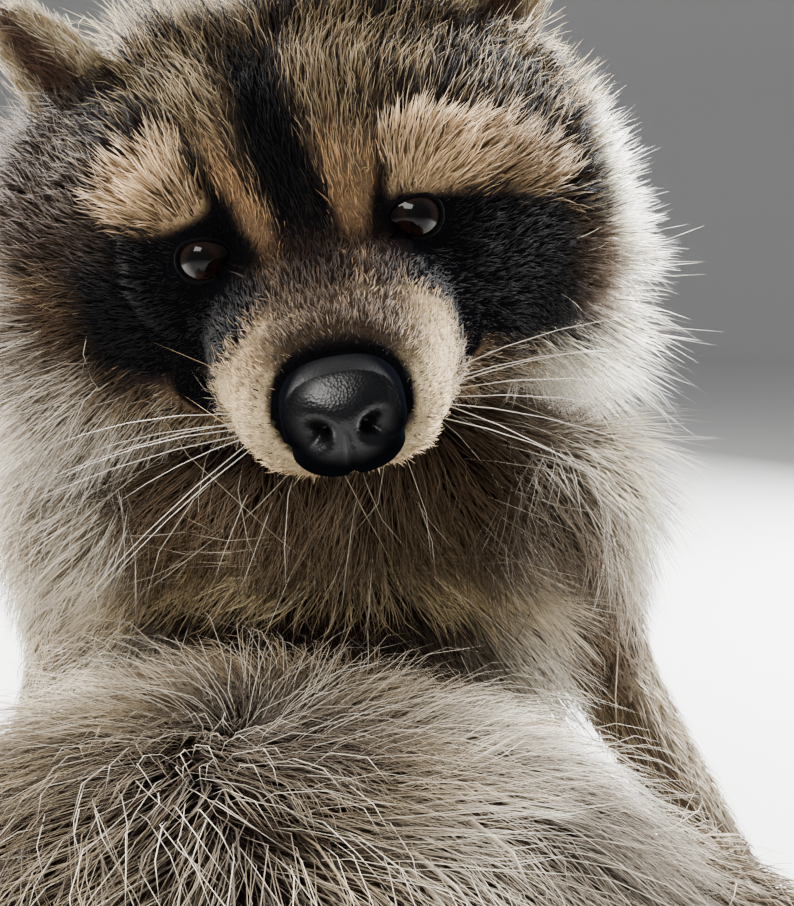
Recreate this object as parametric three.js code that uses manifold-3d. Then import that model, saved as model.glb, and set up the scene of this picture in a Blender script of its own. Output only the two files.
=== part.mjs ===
// A life-size still model of a fat adult raccoon that sits on its rump like a teddy bear: belly out in
// front, forelegs hanging beside the trunk with the fingers on the floor, soles forward, ringed tail
// curled on the floor behind. Each solid has the outline of the coat, out to the tips of the hair.
//
// Millimetres, +Z up. The animal faces -Y and its own left side is +X. The origin is on the floor, in
// the middle of the flat on which the rump sits.
import * as THREE from 'three';
import { mergeVertices } from 'three/addons/utils/BufferGeometryUtils.js';
import Module from 'manifold-3d';

const wasm = await Module();
wasm.setup();

// ---- Driving dimensions ----
const GAP = 0.35; // clearance between solids that meet
const EYE_RADIUS = 8.5;
const EYE_CENTRE = [23, 2, -0.5]; // of the left eyeball, in the head's own frame
const HEAD_AT = [4, -6, 274]; // midpoint between the pupils
const HEAD_TURN = { roll: -10, yaw: 3, pitch: 12 }; // degrees: tilt to its right, turn, nose down
const BELLY = { centre: [-8, -13, 72], radii: [122, 97, 109], squareness: 2.4, roll: 3 };
const TAIL_LENGTH_SHARE = [0.3, 0.56, 0.8]; // where the tail is parted into four lengths
const DIGITS = 5; // on each foot
const CLAW_LENGTH = { fore: 11, hind: 10 };

const degrees = THREE.MathUtils.degToRad;
const vector = (a) => new THREE.Vector3(...a);
const mirrored = ([x, y, z], side) => [x * side, y, z];

// ---- Materials: coat colours averaged over each part ----
const finish = (name, colour, roughness = 0.9) =>
  new THREE.MeshStandardMaterial({ name, color: colour, roughness, metalness: 0 });
const material = {
  face: finish('face', 0x54483c),
  coat: finish('coat', 0x8a8072),
  belly: finish('belly', 0x9d9384),
  tail: finish('tail', 0x6e6355),
  ear: finish('ear', 0xb8ab98),
  paw: finish('paw', 0x8f8578, 0.85),
  eye: finish('eye', 0x0b0908, 0.05),
  nose: finish('nose', 0x121316, 0.25),
};

// ---- Solids from surfaces ----
function solid(geometry) {
  const plain = new THREE.BufferGeometry();
  plain.setAttribute('position', geometry.getAttribute('position'));
  plain.setIndex(geometry.index);
  const merged = mergeVertices(plain, 1e-3);
  const made = new wasm.Manifold(new wasm.Mesh({
    numProp: 3,
    vertProperties: new Float32Array(merged.attributes.position.array),
    triVerts: new Uint32Array(merged.index.array),
  }));
  if (made.volume() > 0) return made;
  for (let i = 0; i < merged.index.array.length; i += 3) {
    const swap = merged.index.array[i];
    merged.index.array[i] = merged.index.array[i + 1];
    merged.index.array[i + 1] = swap;
  }
  return new wasm.Manifold(new wasm.Mesh({
    numProp: 3,
    vertProperties: new Float32Array(merged.attributes.position.array),
    triVerts: new Uint32Array(merged.index.array),
  }));
}

function largestBody(shape) {
  const bodies = shape.decompose();
  return bodies.reduce((best, body) => (body.volume() > best.volume() ? body : best));
}

function mesh(name, shape, look) {
  const { vertProperties, triVerts } = largestBody(shape).getMesh();
  const geometry = new THREE.BufferGeometry();
  geometry.setAttribute('position', new THREE.BufferAttribute(new Float32Array(vertProperties), 3));
  geometry.setIndex(new THREE.BufferAttribute(new Uint32Array(triVerts), 1));
  geometry.computeVertexNormals();
  const made = new THREE.Mesh(geometry, look);
  made.name = name;
  return made;
}

const union = (shapes) => shapes.reduce((all, next) => all.add(next));

// Everything below the floor is cut away, which leaves a small flat under whatever rests there.
const belowFloor = solid(new THREE.BoxGeometry(1200, 1200, 200).translate(0, 0, -100));
const onFloor = (shape) => shape.subtract(belowFloor);

// A smooth curve through a list of numbers, read at a share t of its length.
function through(values, t) {
  const points = values.map((value, i) => new THREE.Vector2(i, value));
  return new THREE.SplineCurve(points).getPoint(t).y;
}

// A body part as a sphere drawn out along a path. Each station has a centre `at`, a half-width
// `side`, and the reach `top` and `bottom` towards and away from the loft's `up` direction.
// `ends` holds the lengths of the rounded ends, and `grow` thickens the whole by that much.
function loft({ stations, up, ends, around = 20, along = 14, square = 2 }, grow = 0) {
  const path = new THREE.CatmullRomCurve3(stations.map((s) => vector(s.at)), false, 'centripetal');
  const length = path.getLength();
  const sphere = new THREE.SphereGeometry(1, around, along);
  const place = sphere.getAttribute('position');
  const upward = vector(up);
  const reach = (key, t) => through(stations.map((s) => s[key] ?? s.side), t) + grow;
  const power = (value) => Math.sign(value) * Math.abs(value) ** (2 / square);
  for (let i = 0; i < place.count; i++) {
    const ring = Math.acos(THREE.MathUtils.clamp(place.getY(i), -1, 1)) / Math.PI;
    const turn = Math.atan2(place.getZ(i), place.getX(i));
    const share = (1 - Math.cos(Math.PI * ring)) / 2;
    const along1 = path.getUtoTmapping(share);
    const tangent = path.getTangent(along1);
    const forward = share * (length + 2 * grow);
    const backward = (1 - share) * (length + 2 * grow);
    const cap = (distance, end) => Math.sqrt(1 - (1 - Math.min(distance / (end + grow), 1)) ** 2);
    const round = ring === 0 || ring === 1 ? 0 : cap(forward, ends[0]) * cap(backward, ends[1]);
    const centre = path.getPoint(along1).addScaledVector(tangent, (2 * share - 1) * grow);
    const high = upward.clone().addScaledVector(tangent, -upward.dot(tangent)).normalize();
    const wide = new THREE.Vector3().crossVectors(tangent, high);
    const cos = power(Math.cos(turn));
    const sin = power(Math.sin(turn));
    centre.addScaledVector(wide, cos * round * reach('side', along1));
    centre.addScaledVector(high, sin * round * reach(sin > 0 ? 'top' : 'bottom', along1));
    place.setXYZ(i, centre.x, centre.y, centre.z);
  }
  return solid(sphere);
}

// A thin slab across a path, to part a long solid at a share of its length.
function slabAcross(stations, share, size) {
  const path = new THREE.CatmullRomCurve3(stations.map((s) => vector(s.at)), false, 'centripetal');
  const slab = new THREE.BoxGeometry(size, size, GAP);
  const facing = new THREE.Quaternion().setFromUnitVectors(
    new THREE.Vector3(0, 0, 1), path.getTangentAt(share));
  slab.applyQuaternion(facing).translate(...path.getPointAt(share));
  return solid(slab);
}

// The bodies left when a solid is cut across at shares of its path, in order along that path.
function partedAlong(shape, stations, shares, size) {
  const path = new THREE.CatmullRomCurve3(stations.map((s) => vector(s.at)), false, 'centripetal');
  const slabs = shares.map((share) => slabAcross(stations, share, size));
  const samples = path.getSpacedPoints(200);
  const placeAlong = (body) => {
    const { min, max } = body.boundingBox();
    const middle = new THREE.Vector3((min[0] + max[0]) / 2, (min[1] + max[1]) / 2, (min[2] + max[2]) / 2);
    const distances = samples.map((sample) => sample.distanceTo(middle));
    return distances.indexOf(Math.min(...distances));
  };
  const bodies = shape.subtract(union(slabs)).decompose();
  bodies.sort((a, b) => b.volume() - a.volume());
  return bodies.slice(0, shares.length + 1).sort((a, b) => placeAlong(a) - placeAlong(b));
}

// ---- Head ----
// The head is made about the midpoint between the eyes: nose along -Y, crown up, then turned.
const headMatrix = new THREE.Matrix4()
  .makeRotationFromEuler(new THREE.Euler(
    degrees(HEAD_TURN.pitch), degrees(HEAD_TURN.roll), degrees(HEAD_TURN.yaw), 'YZX'))
  .setPosition(...HEAD_AT);
const inHead = (shape) => shape.transform(headMatrix.elements);

const headStations = [
  { at: [0, -57, -23], side: 13.5, top: 11.5, bottom: 10 },
  { at: [0, -46, -23.5], side: 21, top: 17.5, bottom: 15.5 },
  { at: [0, -34, -23], side: 25, top: 21, bottom: 20.5 },
  { at: [0, -18, -22], side: 29, top: 25, bottom: 25 },
  { at: [0, 0, -20], side: 32, top: 28, bottom: 30 },
  { at: [0, 12, -17], side: 50, top: 39, bottom: 36 },
  { at: [0, 23, -14], side: 68, top: 51, bottom: 41 },
  { at: [0, 34, -12], side: 79, top: 61, bottom: 44 },
  { at: [0, 47, -12], side: 84, top: 69, bottom: 45 },
  { at: [0, 64, -12], side: 80, top: 66, bottom: 46 },
  { at: [0, 82, -12], side: 64, top: 54, bottom: 42 },
  { at: [0, 98, -12], side: 46, top: 40, bottom: 36 },
];
const headLoft = { stations: headStations, up: [0, 0, 1], ends: [7, 26], around: 22, along: 18, square: 2.4 };

// The ruff of long hair that sweeps back from each cheek to a point.
const ruffLoft = (side) => ({
  stations: [
    { at: [52 * side, 30, -22], side: 12, top: 28, bottom: 24 },
    { at: [72 * side, 36, -22], side: 11, top: 27, bottom: 22 },
    { at: [85 * side, 43, -24], side: 8, top: 19, bottom: 15 },
    { at: [95 * side, 51, -26], side: 3, top: 5, bottom: 5 },
  ],
  up: [0, 0, 1], ends: [8, 6], around: 8, along: 6,
});

const headShape = (grow = 0) => inHead(
  union([loft(headLoft, grow), loft(ruffLoft(1), grow), loft(ruffLoft(-1), grow)]));

const eyeShape = (side, grow = 0) => inHead(solid(
  new THREE.SphereGeometry(EYE_RADIUS + grow, 10, 8)
    .rotateX(-Math.PI / 2).translate(...mirrored(EYE_CENTRE, side))));

// The bare nose pad: a rounded block with its broad side up, capping the tip of the muzzle.
const noseLoft = {
  stations: [
    { at: [0, -66, -21.5], side: 8.5, top: 7, bottom: 7.5 },
    { at: [0, -61, -22], side: 11, top: 9, bottom: 10 },
    { at: [0, -54, -21.5], side: 11.5, top: 9.5, bottom: 9.5 },
    { at: [0, -46, -20], side: 9, top: 8, bottom: 6.5 },
  ],
  up: [0, 0, 1], ends: [5, 6], around: 12, along: 7, square: 2.6,
};
const noseShape = (grow = 0) => inHead(loft(noseLoft, grow));

// An ear is a shallow cup that faces forward and out: a thick leaf, less a thinner one pressed into
// its front.
const earShape = (side) => {
  const backward = [-0.45 * side, 0.89, 0];
  const leaf = (grow, pressed) => loft({
    stations: [
      { at: [46 * side, 46, 30], side: 15, top: 7, bottom: 7 },
      { at: [55 * side, 46, 43], side: 15.5, top: 7, bottom: 7 },
      { at: [63 * side, 47, 55], side: 12.5, top: 6, bottom: 6 },
      { at: [70 * side, 48, 65], side: 6, top: 4, bottom: 4 },
    ].map((station) => ({
      ...station, at: vector(station.at).addScaledVector(vector(backward), -pressed).toArray(),
    })),
    up: backward, ends: [5, 6], around: 10, along: 6,
  }, grow);
  return inHead(leaf(0, 0).subtract(leaf(-4, 7)));
};

// The lower jaw is all of the head below the line of the mouth, which rises from under the nose to
// the corner of the mouth, and in front of a line from that corner down to the throat.
const MOUTH_FRONT = [-80, -38];
const MOUTH_CORNER = [-14, -26];
const JAW_THROAT = [2, -80];
function jawRoom(grow = 0) {
  const outline = new THREE.Shape([
    new THREE.Vector2(MOUTH_FRONT[0], MOUTH_FRONT[1] + grow),
    new THREE.Vector2(MOUTH_CORNER[0] + grow, MOUTH_CORNER[1] + grow),
    new THREE.Vector2(JAW_THROAT[0] + grow, JAW_THROAT[1]),
    new THREE.Vector2(MOUTH_FRONT[0], JAW_THROAT[1]),
  ]);
  const block = new THREE.ExtrudeGeometry(outline, { depth: 160, bevelEnabled: false });
  // The outline's plane is set upright along the middle of the head.
  block.translate(0, 0, -80).rotateX(Math.PI / 2).rotateZ(Math.PI / 2);
  return inHead(solid(block));
}

// ---- Trunk ----
const bellyShape = (grow = 0) => {
  const ball = new THREE.SphereGeometry(1, 22, 13);
  const place = ball.getAttribute('position');
  const bulge = (value) => Math.abs(value) ** BELLY.squareness;
  for (let i = 0; i < place.count; i++) {
    const [x, y, z] = [place.getX(i), place.getY(i), place.getZ(i)];
    const scale = (bulge(x) + bulge(y) + bulge(z)) ** (-1 / BELLY.squareness);
    const [cx, cy, cz] = BELLY.centre;
    const [rx, ry, rz] = BELLY.radii.map((radius) => (radius + grow) * scale);
    place.setXYZ(i, cx + rx * x, cy + ry * y, cz + rz * z);
  }
  const [cx, cy, cz] = BELLY.centre;
  ball.translate(-cx, -cy, -cz).rotateY(degrees(BELLY.roll)).translate(cx, cy, cz);
  return onFloor(solid(ball));
};

const backStations = [
  { at: [0, 40, 4], side: 84, top: 24, bottom: 44 },
  { at: [0, 42, 45], side: 96, top: 24, bottom: 56 },
  { at: [0, 46, 95], side: 90, top: 22, bottom: 57 },
  { at: [0, 54, 142], side: 80, top: 22, bottom: 55 },
  { at: [0, 60, 184], side: 76, top: 30, bottom: 52 },
  { at: [1, 61, 218], side: 72, top: 40, bottom: 47 },
  { at: [2, 56, 248], side: 60, top: 42, bottom: 42 },
  { at: [3, 46, 270], side: 48, top: 38, bottom: 38 },
];
const backLoft = { stations: backStations, up: [0, -1, 0], ends: [20, 20], around: 16, along: 14 };
const backShape = (grow = 0) => onFloor(loft(backLoft, grow));

// ---- Forelegs ----
const forelegs = {
  left: {
    side: 1,
    joints: { shoulder: [60, 48, 234], elbow: [88, 79, 150], wrist: [143, 84, 54], palm: [152, 68, 19] },
  },
  right: {
    side: -1,
    joints: { shoulder: [-60, 48, 232], elbow: [-82, 80, 148], wrist: [-116, 84, 46], palm: [-126, 68, 18] },
  },
};

const between = (a, b, share) => a.map((value, i) => value + (b[i] - value) * share);

function forelegStations({ shoulder, elbow, wrist, palm }) {
  return [
    { at: shoulder, side: 36, top: 34, bottom: 34 },
    { at: between(shoulder, elbow, 0.5), side: 27, top: 30, bottom: 28 },
    { at: elbow, side: 19.5, top: 21, bottom: 22 },
    { at: between(elbow, wrist, 0.5), side: 14.5, top: 15, bottom: 15 },
    { at: wrist, side: 11.5, top: 10.5, bottom: 10.5 },
    { at: between(wrist, palm, 0.6), side: 13, top: 9, bottom: 9 },
  ];
}
const forelegLoft = (joints) => ({
  stations: forelegStations(joints), up: [0, -1, 0], ends: [26, 6], around: 12, along: 14,
});

// One digit with its claw, from the knuckle towards the tip, lying on the floor or in the air.
function digit(knuckle, tip, thick, claw, rise) {
  const tipward = vector(tip).sub(vector(knuckle)).normalize();
  const finger = loft({
    stations: [
      { at: knuckle, side: thick },
      { at: between(knuckle, tip, 0.5), side: thick * 0.9 },
      { at: tip, side: thick * 0.85 },
    ],
    up: rise, ends: [thick, thick * 0.9], around: 5, along: 4,
  });
  const root = vector(tip).addScaledVector(tipward, -thick * 1.1).addScaledVector(vector(rise), thick * 0.2);
  const end = vector(tip).addScaledVector(tipward, claw - thick).addScaledVector(vector(rise), -thick * 0.35);
  const middle = root.clone().lerp(end, 0.55).addScaledVector(vector(rise), thick * 0.3);
  const nail = loft({
    stations: [
      { at: root.toArray(), side: 1.5 },
      { at: middle.toArray(), side: 1.6, top: 1.8 },
      { at: end.toArray(), side: 0.6 },
    ],
    up: rise, ends: [1, 0.8], around: 4, along: 3,
  });
  return finger.add(nail);
}

function forepawShape({ side, joints: { wrist, palm } }) {
  const forward = vector(palm).sub(vector(wrist)).setZ(0).normalize();
  const across = new THREE.Vector3(forward.y, -forward.x, 0);
  const place = (ahead, sideways, height) =>
    vector([palm[0], palm[1], height]).addScaledVector(forward, ahead).addScaledVector(across, sideways).toArray();
  const pad = loft({
    stations: [
      { at: between(wrist, palm, 0.5), side: 11, top: 8, bottom: 8 },
      { at: palm, side: 16, top: 9, bottom: 10 },
      { at: place(12, 0, 9), side: 16, top: 7.5, bottom: 8.5 },
      { at: place(20, 0, 7.5), side: 14, top: 6, bottom: 7 },
    ],
    up: [0, -0.6, 0.8], ends: [5, 6], around: 8, along: 7,
  });
  const fingers = Array.from({ length: DIGITS }, (_, i) => {
    const spread = (i - (DIGITS - 1) / 2) / ((DIGITS - 1) / 2); // -1 to 1 across the hand
    const reach = 50 - 9 * spread * spread - (spread * side > 0.9 ? 6 : 0);
    return digit(place(16, spread * 10.5, 8.5), place(reach, spread * 24, 4.2), 4.6, CLAW_LENGTH.fore, [0, 0, 1]);
  });
  return onFloor(union([pad, ...fingers]));
}

// ---- Hind legs ----
const hindLeg = {
  hip: [80, 42, 68], knee: [126, -84, 92], ankle: [106, -166, 36], heel: [104, -178, 13], ball: [118, -192, 76],
};

const thighLoft = (side) => ({
  stations: [
    { at: mirrored(hindLeg.hip, side), side: 50, top: 56, bottom: 62 },
    { at: mirrored(between(hindLeg.hip, hindLeg.knee, 0.45), side), side: 49, top: 60, bottom: 64 },
    { at: mirrored(between(hindLeg.hip, hindLeg.knee, 0.82), side), side: 44, top: 44, bottom: 50 },
    { at: mirrored(hindLeg.knee, side), side: 36, top: 32, bottom: 38 },
  ],
  up: [0, 0, 1], ends: [40, 30], around: 14, along: 9,
});

const shankLoft = (side) => ({
  stations: [
    { at: mirrored(between(hindLeg.hip, hindLeg.knee, 0.92), side), side: 34, top: 30, bottom: 36 },
    { at: mirrored(between(hindLeg.knee, hindLeg.ankle, 0.35), side), side: 30, top: 26, bottom: 32 },
    { at: mirrored(between(hindLeg.knee, hindLeg.ankle, 0.75), side), side: 20, top: 18, bottom: 20 },
    { at: mirrored(hindLeg.ankle, side), side: 15, top: 15, bottom: 16 },
    { at: mirrored(between(hindLeg.ankle, hindLeg.heel, 0.5), side), side: 14, top: 14, bottom: 14 },
  ],
  up: [0, 0, 1], ends: [24, 8], around: 12, along: 9,
});

function hindFootShape(side) {
  const { heel, ball } = hindLeg;
  const toeward = vector(ball).sub(vector(heel)).normalize();
  const instep = new THREE.Vector3(0, 1, 0.18).addScaledVector(toeward, -toeward.y - 0.18 * toeward.z).normalize();
  const across = new THREE.Vector3().crossVectors(toeward, instep);
  const place = (ahead, sideways, back = 0) =>
    vector(ball).addScaledVector(toeward, ahead).addScaledVector(across, sideways)
      .addScaledVector(instep, back).toArray();
  const mirror = (stations) => stations.map((station) => ({ ...station, at: mirrored(station.at, side) }));
  const sole = loft({
    stations: mirror([
      { at: between(heel, ball, -0.04), side: 13, top: 16, bottom: 9 },
      { at: between(heel, ball, 0.35), side: 15, top: 14, bottom: 9 },
      { at: between(heel, ball, 0.75), side: 18, top: 11, bottom: 9 },
      { at: ball, side: 18, top: 9, bottom: 8.5 },
    ]),
    up: [instep.x * side, instep.y, instep.z], ends: [11, 9], around: 8, along: 7,
  });
  const toes = Array.from({ length: DIGITS }, (_, i) => {
    const spread = (i - (DIGITS - 1) / 2) / ((DIGITS - 1) / 2);
    const reach = 33 - 8 * spread * spread + 2 * spread;
    const rise = [instep.x * side, instep.y, instep.z];
    return digit(
      mirrored(place(-4, spread * 12.5), side), mirrored(place(reach, spread * 19.5, -1), side),
      5.2, CLAW_LENGTH.hind, rise);
  });
  return onFloor(union([sole, ...toes]));
}

// ---- Tail ----
const tailStations = [
  { at: [0, 72, 34], side: 28, top: 26, bottom: 28 },
  { at: [-6, 112, 30], side: 29, top: 27, bottom: 29 },
  { at: [-30, 160, 29], side: 33, top: 31, bottom: 31 },
  { at: [-78, 200, 29], side: 35, top: 33, bottom: 32 },
  { at: [-136, 214, 28], side: 34, top: 32, bottom: 31 },
  { at: [-188, 202, 26], side: 29, top: 27, bottom: 28 },
  { at: [-222, 180, 22], side: 20, top: 19, bottom: 22 },
];
const tailLoft = { stations: tailStations, up: [0, 0, 1], ends: [10, 24], around: 12, along: 17 };

// ---- Assembly: a solid that meets another one gives way to it, with a small gap ----
const part = new THREE.Group();
const head = headShape();
const headRoom = headShape(GAP);
const backRoom = backShape(GAP);

const sides = { left: 1, right: -1 };
const eyeRooms = union([eyeShape(1, GAP), eyeShape(-1, GAP)]);
const skull = head.subtract(eyeRooms).subtract(noseShape(GAP));
part.add(mesh('head', skull.subtract(jawRoom(GAP)), material.face));
part.add(mesh('lower_jaw', skull.intersect(jawRoom()), material.face));
part.add(mesh('nose', noseShape(), material.nose));
for (const [name, side] of Object.entries(sides)) {
  part.add(mesh(`eye_${name}`, eyeShape(side), material.eye));
  part.add(mesh(`ear_${name}`, earShape(side).subtract(headRoom), material.ear));
}

const spine = backShape().subtract(headRoom);
const [rump, chest, neck] = partedAlong(spine, backStations, [0.44, 0.84], 400);
part.add(mesh('rump', rump, material.coat));
part.add(mesh('chest', chest, material.coat));
part.add(mesh('neck', neck, material.coat));
const belly = bellyShape().subtract(backRoom);
const bellyRoom = bellyShape(GAP);
part.add(mesh('belly', belly, material.belly));

const trunkRoom = union([bellyRoom, backRoom, headRoom]);
for (const [name, leg] of Object.entries(forelegs)) {
  const loftShape = forelegLoft(leg.joints);
  const thighRoom = loft(thighLoft(leg.side), GAP);
  const arm = loft(loftShape).subtract(trunkRoom).subtract(thighRoom);
  const [upper, lower] = partedAlong(arm, loftShape.stations, [0.44], 200);
  part.add(mesh(`upper_arm_${name}`, upper, material.coat));
  part.add(mesh(`forearm_${name}`, lower, material.coat));
  const paw = forepawShape(leg).subtract(loft(loftShape, GAP));
  part.add(mesh(`forepaw_${name}`, paw, material.paw));
}

for (const [name, side] of Object.entries(sides)) {
  const thigh = onFloor(loft(thighLoft(side)));
  part.add(mesh(`thigh_${name}`, thigh.subtract(bellyRoom).subtract(backRoom), material.coat));
  const legRoom = union([loft(thighLoft(side), GAP), bellyRoom]);
  part.add(mesh(`shank_${name}`, onFloor(loft(shankLoft(side)).subtract(legRoom)), material.coat));
  const foot = hindFootShape(side).subtract(loft(shankLoft(side), GAP)).subtract(legRoom);
  part.add(mesh(`hind_foot_${name}`, foot, material.paw));
}

const tail = onFloor(loft(tailLoft)).subtract(backRoom).subtract(bellyRoom);
partedAlong(tail, tailStations, TAIL_LENGTH_SHARE, 200)
  .forEach((length, i) => part.add(mesh(`tail_${i + 1}`, length, material.tail)));

export default part;
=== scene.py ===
# %% [markdown]
# A life-size museum model of a fat raccoon that sits on its rump. The imported model gives the frame:
# every piece below is placed from its numbers, in metres, and rides on its one body. The box of the
# imported model is kept.

# %% Load the frame
import bpy
import numpy as np
from mathutils import Matrix


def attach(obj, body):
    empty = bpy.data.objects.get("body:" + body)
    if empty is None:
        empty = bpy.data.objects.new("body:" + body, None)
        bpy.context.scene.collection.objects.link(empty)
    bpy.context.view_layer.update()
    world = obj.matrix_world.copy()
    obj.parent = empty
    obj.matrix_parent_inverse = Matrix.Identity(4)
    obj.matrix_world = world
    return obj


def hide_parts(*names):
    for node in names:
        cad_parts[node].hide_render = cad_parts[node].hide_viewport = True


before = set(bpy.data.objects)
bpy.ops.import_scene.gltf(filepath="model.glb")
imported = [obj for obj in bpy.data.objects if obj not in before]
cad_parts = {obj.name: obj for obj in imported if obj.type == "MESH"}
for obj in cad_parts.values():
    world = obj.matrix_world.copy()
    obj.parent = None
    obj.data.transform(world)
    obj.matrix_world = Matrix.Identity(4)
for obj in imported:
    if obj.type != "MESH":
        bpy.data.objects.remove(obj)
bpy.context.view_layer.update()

MM = 0.001
BODY = "root"

# %% [markdown]
# The camera is set before any piece, because the fineness of the hair depends on how close it comes.
# A portrait of an animal is taken from its own eye level, from about a forearm's length away, so the
# muzzle looms and the belly fills the foreground.

# %% Camera
camera = bpy.data.objects.new("camera", bpy.data.cameras.new("camera"))
camera.location = (0.022, -0.245, 0.261)
camera.rotation_euler = (np.radians(82), 0, 0)
camera.data.lens = 41.7
camera.data.clip_start = 0.01
bpy.context.collection.objects.link(camera)
bpy.context.scene.camera = camera
print("camera stands", round(-camera.location.y * 1000), "mm in front of the origin")

# %% [markdown]
# Small helpers come next: unit vectors, a soft step for fading one marking into another, and one
# function that turns arrays into a mesh. A mesh keeps its corners in long flat lists, so whole arrays
# can be handed over at once, which is far quicker than adding one face after another.

# %% Helpers
def unit(v):
    """Each vector divided by its own length."""
    return v / np.maximum(np.linalg.norm(v, axis=-1, keepdims=True), 1e-12)


def step(low, high, x):
    """0 below `low`, 1 above `high`, and 3t^2 - 2t^3 in between; the other way round if high < low."""
    t = np.clip((x - low) / (high - low), 0, 1)
    return t * t * (3 - 2 * t)


def mix(a, b, share):
    """Colour a where share is 0, b where it is 1."""
    return a + (b - a) * np.asarray(share, float)[..., None]


def drift(points, size, seed):
    """A smooth random number from about -1 to 1: six waves of about `size` mm in random directions."""
    dice = np.random.default_rng(seed)
    ways = unit(dice.normal(size=(6, 3))) * (2 * np.pi / size) * dice.uniform(0.6, 1.4, (6, 1))
    return np.sin(points @ ways.T + dice.uniform(0, 2 * np.pi, 6)).sum(1) / 2.6


def mesh_object(name, points, faces):
    """A smooth mesh from an array of points and a list of face arrays, each with 3 or 4 corners a row."""
    mesh = bpy.data.meshes.new(name)
    corners = np.concatenate([f.ravel() for f in faces]).astype(np.int32)
    sizes = np.concatenate([np.full(len(f), f.shape[1], np.int32) for f in faces])
    mesh.vertices.add(len(points))
    mesh.vertices.foreach_set("co", np.asarray(points, np.float32).ravel())
    mesh.loops.add(len(corners))
    mesh.loops.foreach_set("vertex_index", corners)
    mesh.polygons.add(len(sizes))
    mesh.polygons.foreach_set("loop_start", (np.cumsum(sizes) - sizes).astype(np.int32))
    mesh.polygons.foreach_set("use_smooth", np.full(len(sizes), True))
    mesh.update(calc_edges=True)
    made = bpy.data.objects.new(name, mesh)
    bpy.context.collection.objects.link(made)
    return made


def finish_piece(piece, material, slot, *nodes):
    """Gives a piece its material and its body, and hides the imported nodes it stands for. `slot` is not
    used.
    """
    piece.data.materials.append(material)
    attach(piece, BODY)
    if nodes:
        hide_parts(*nodes)


def tube_faces(rings, around):
    """Quads between rings of `around` points, the last point of a ring joined to its first."""
    i, j = np.meshgrid(np.arange(rings - 1), np.arange(around), indexing="ij")
    k = (j + 1) % around
    here, above = i * around, (i + 1) * around
    return np.stack([here + j, here + k, above + k, above + j], -1).reshape(-1, 4)


def closed_surface(grid):
    """Points and faces of a grid whose first and last rows are each one point, and whose sides meet."""
    rows, around = grid.shape[:2]
    points = np.concatenate([grid[0, :1], grid[1:-1].reshape(-1, 3), grid[-1:, 0]])
    quads = tube_faces(rows - 2, around) + 1
    j = np.arange(around)
    last = len(points) - 1
    first_cap = np.stack([np.zeros_like(j), 1 + (j + 1) % around, 1 + j], -1)
    last_cap = np.stack([np.full_like(j, last), last - around + j, last - around + (j + 1) % around], -1)
    return points, [quads, first_cap, last_cap]


def facing_out(points, faces):
    """The faces, turned over if they enclose a negative volume: the sum of corner products over six."""
    other_halves = [f[:, [0, 2, 3]] for f in faces if f.shape[1] == 4]
    tris = np.concatenate([f[:, :3] for f in faces] + other_halves)
    a, b, c = (points[tris[:, k]] for k in range(3))
    return faces if np.einsum("ij,ij->i", a, np.cross(b, c)).sum() > 0 else [f[:, ::-1] for f in faces]


print("a soft step from 0 to 1, read at quarters:", step(0, 1, np.linspace(0, 1, 5)).round(2))

# %% [markdown]
# Nearly every part of the animal is a sphere drawn out along a curve: thick or thin by station, with
# rounded ends. The same curve later tells each hair which way to lie, and which part it grows on, so
# a part is kept as an object that can answer both questions.

# %% Body parts drawn along curves
SAMPLES = 96
BATCH = 40000


def curve_through(points, t):
    """A smooth curve through points at shares t: each span is a cubic whose end slopes come from the
    neighbouring points, weighed by the square roots of the distances between them."""
    p = np.vstack([2 * points[0] - points[1], points, 2 * points[-1] - points[-2]])
    spans = len(p) - 3
    first = np.clip(np.floor(t * spans).astype(int), 0, spans - 1)
    s = (t * spans - first)[:, None]
    a, b, c, d = (p[first + k] for k in range(4))
    root = lambda v: np.maximum(np.linalg.norm(v, axis=1, keepdims=True), 1e-9) ** 0.5
    ab, bc, cd = root(b - a), root(c - b), root(d - c)
    m = ((b - a) / ab - (c - a) / (ab + bc) + (c - b) / bc) * bc
    n = ((c - b) / bc - (d - b) / (bc + cd) + (d - c) / cd) * bc
    return b + m * s + (3 * (c - b) - 2 * m - n) * s**2 + (2 * (b - c) + m + n) * s**3


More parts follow.
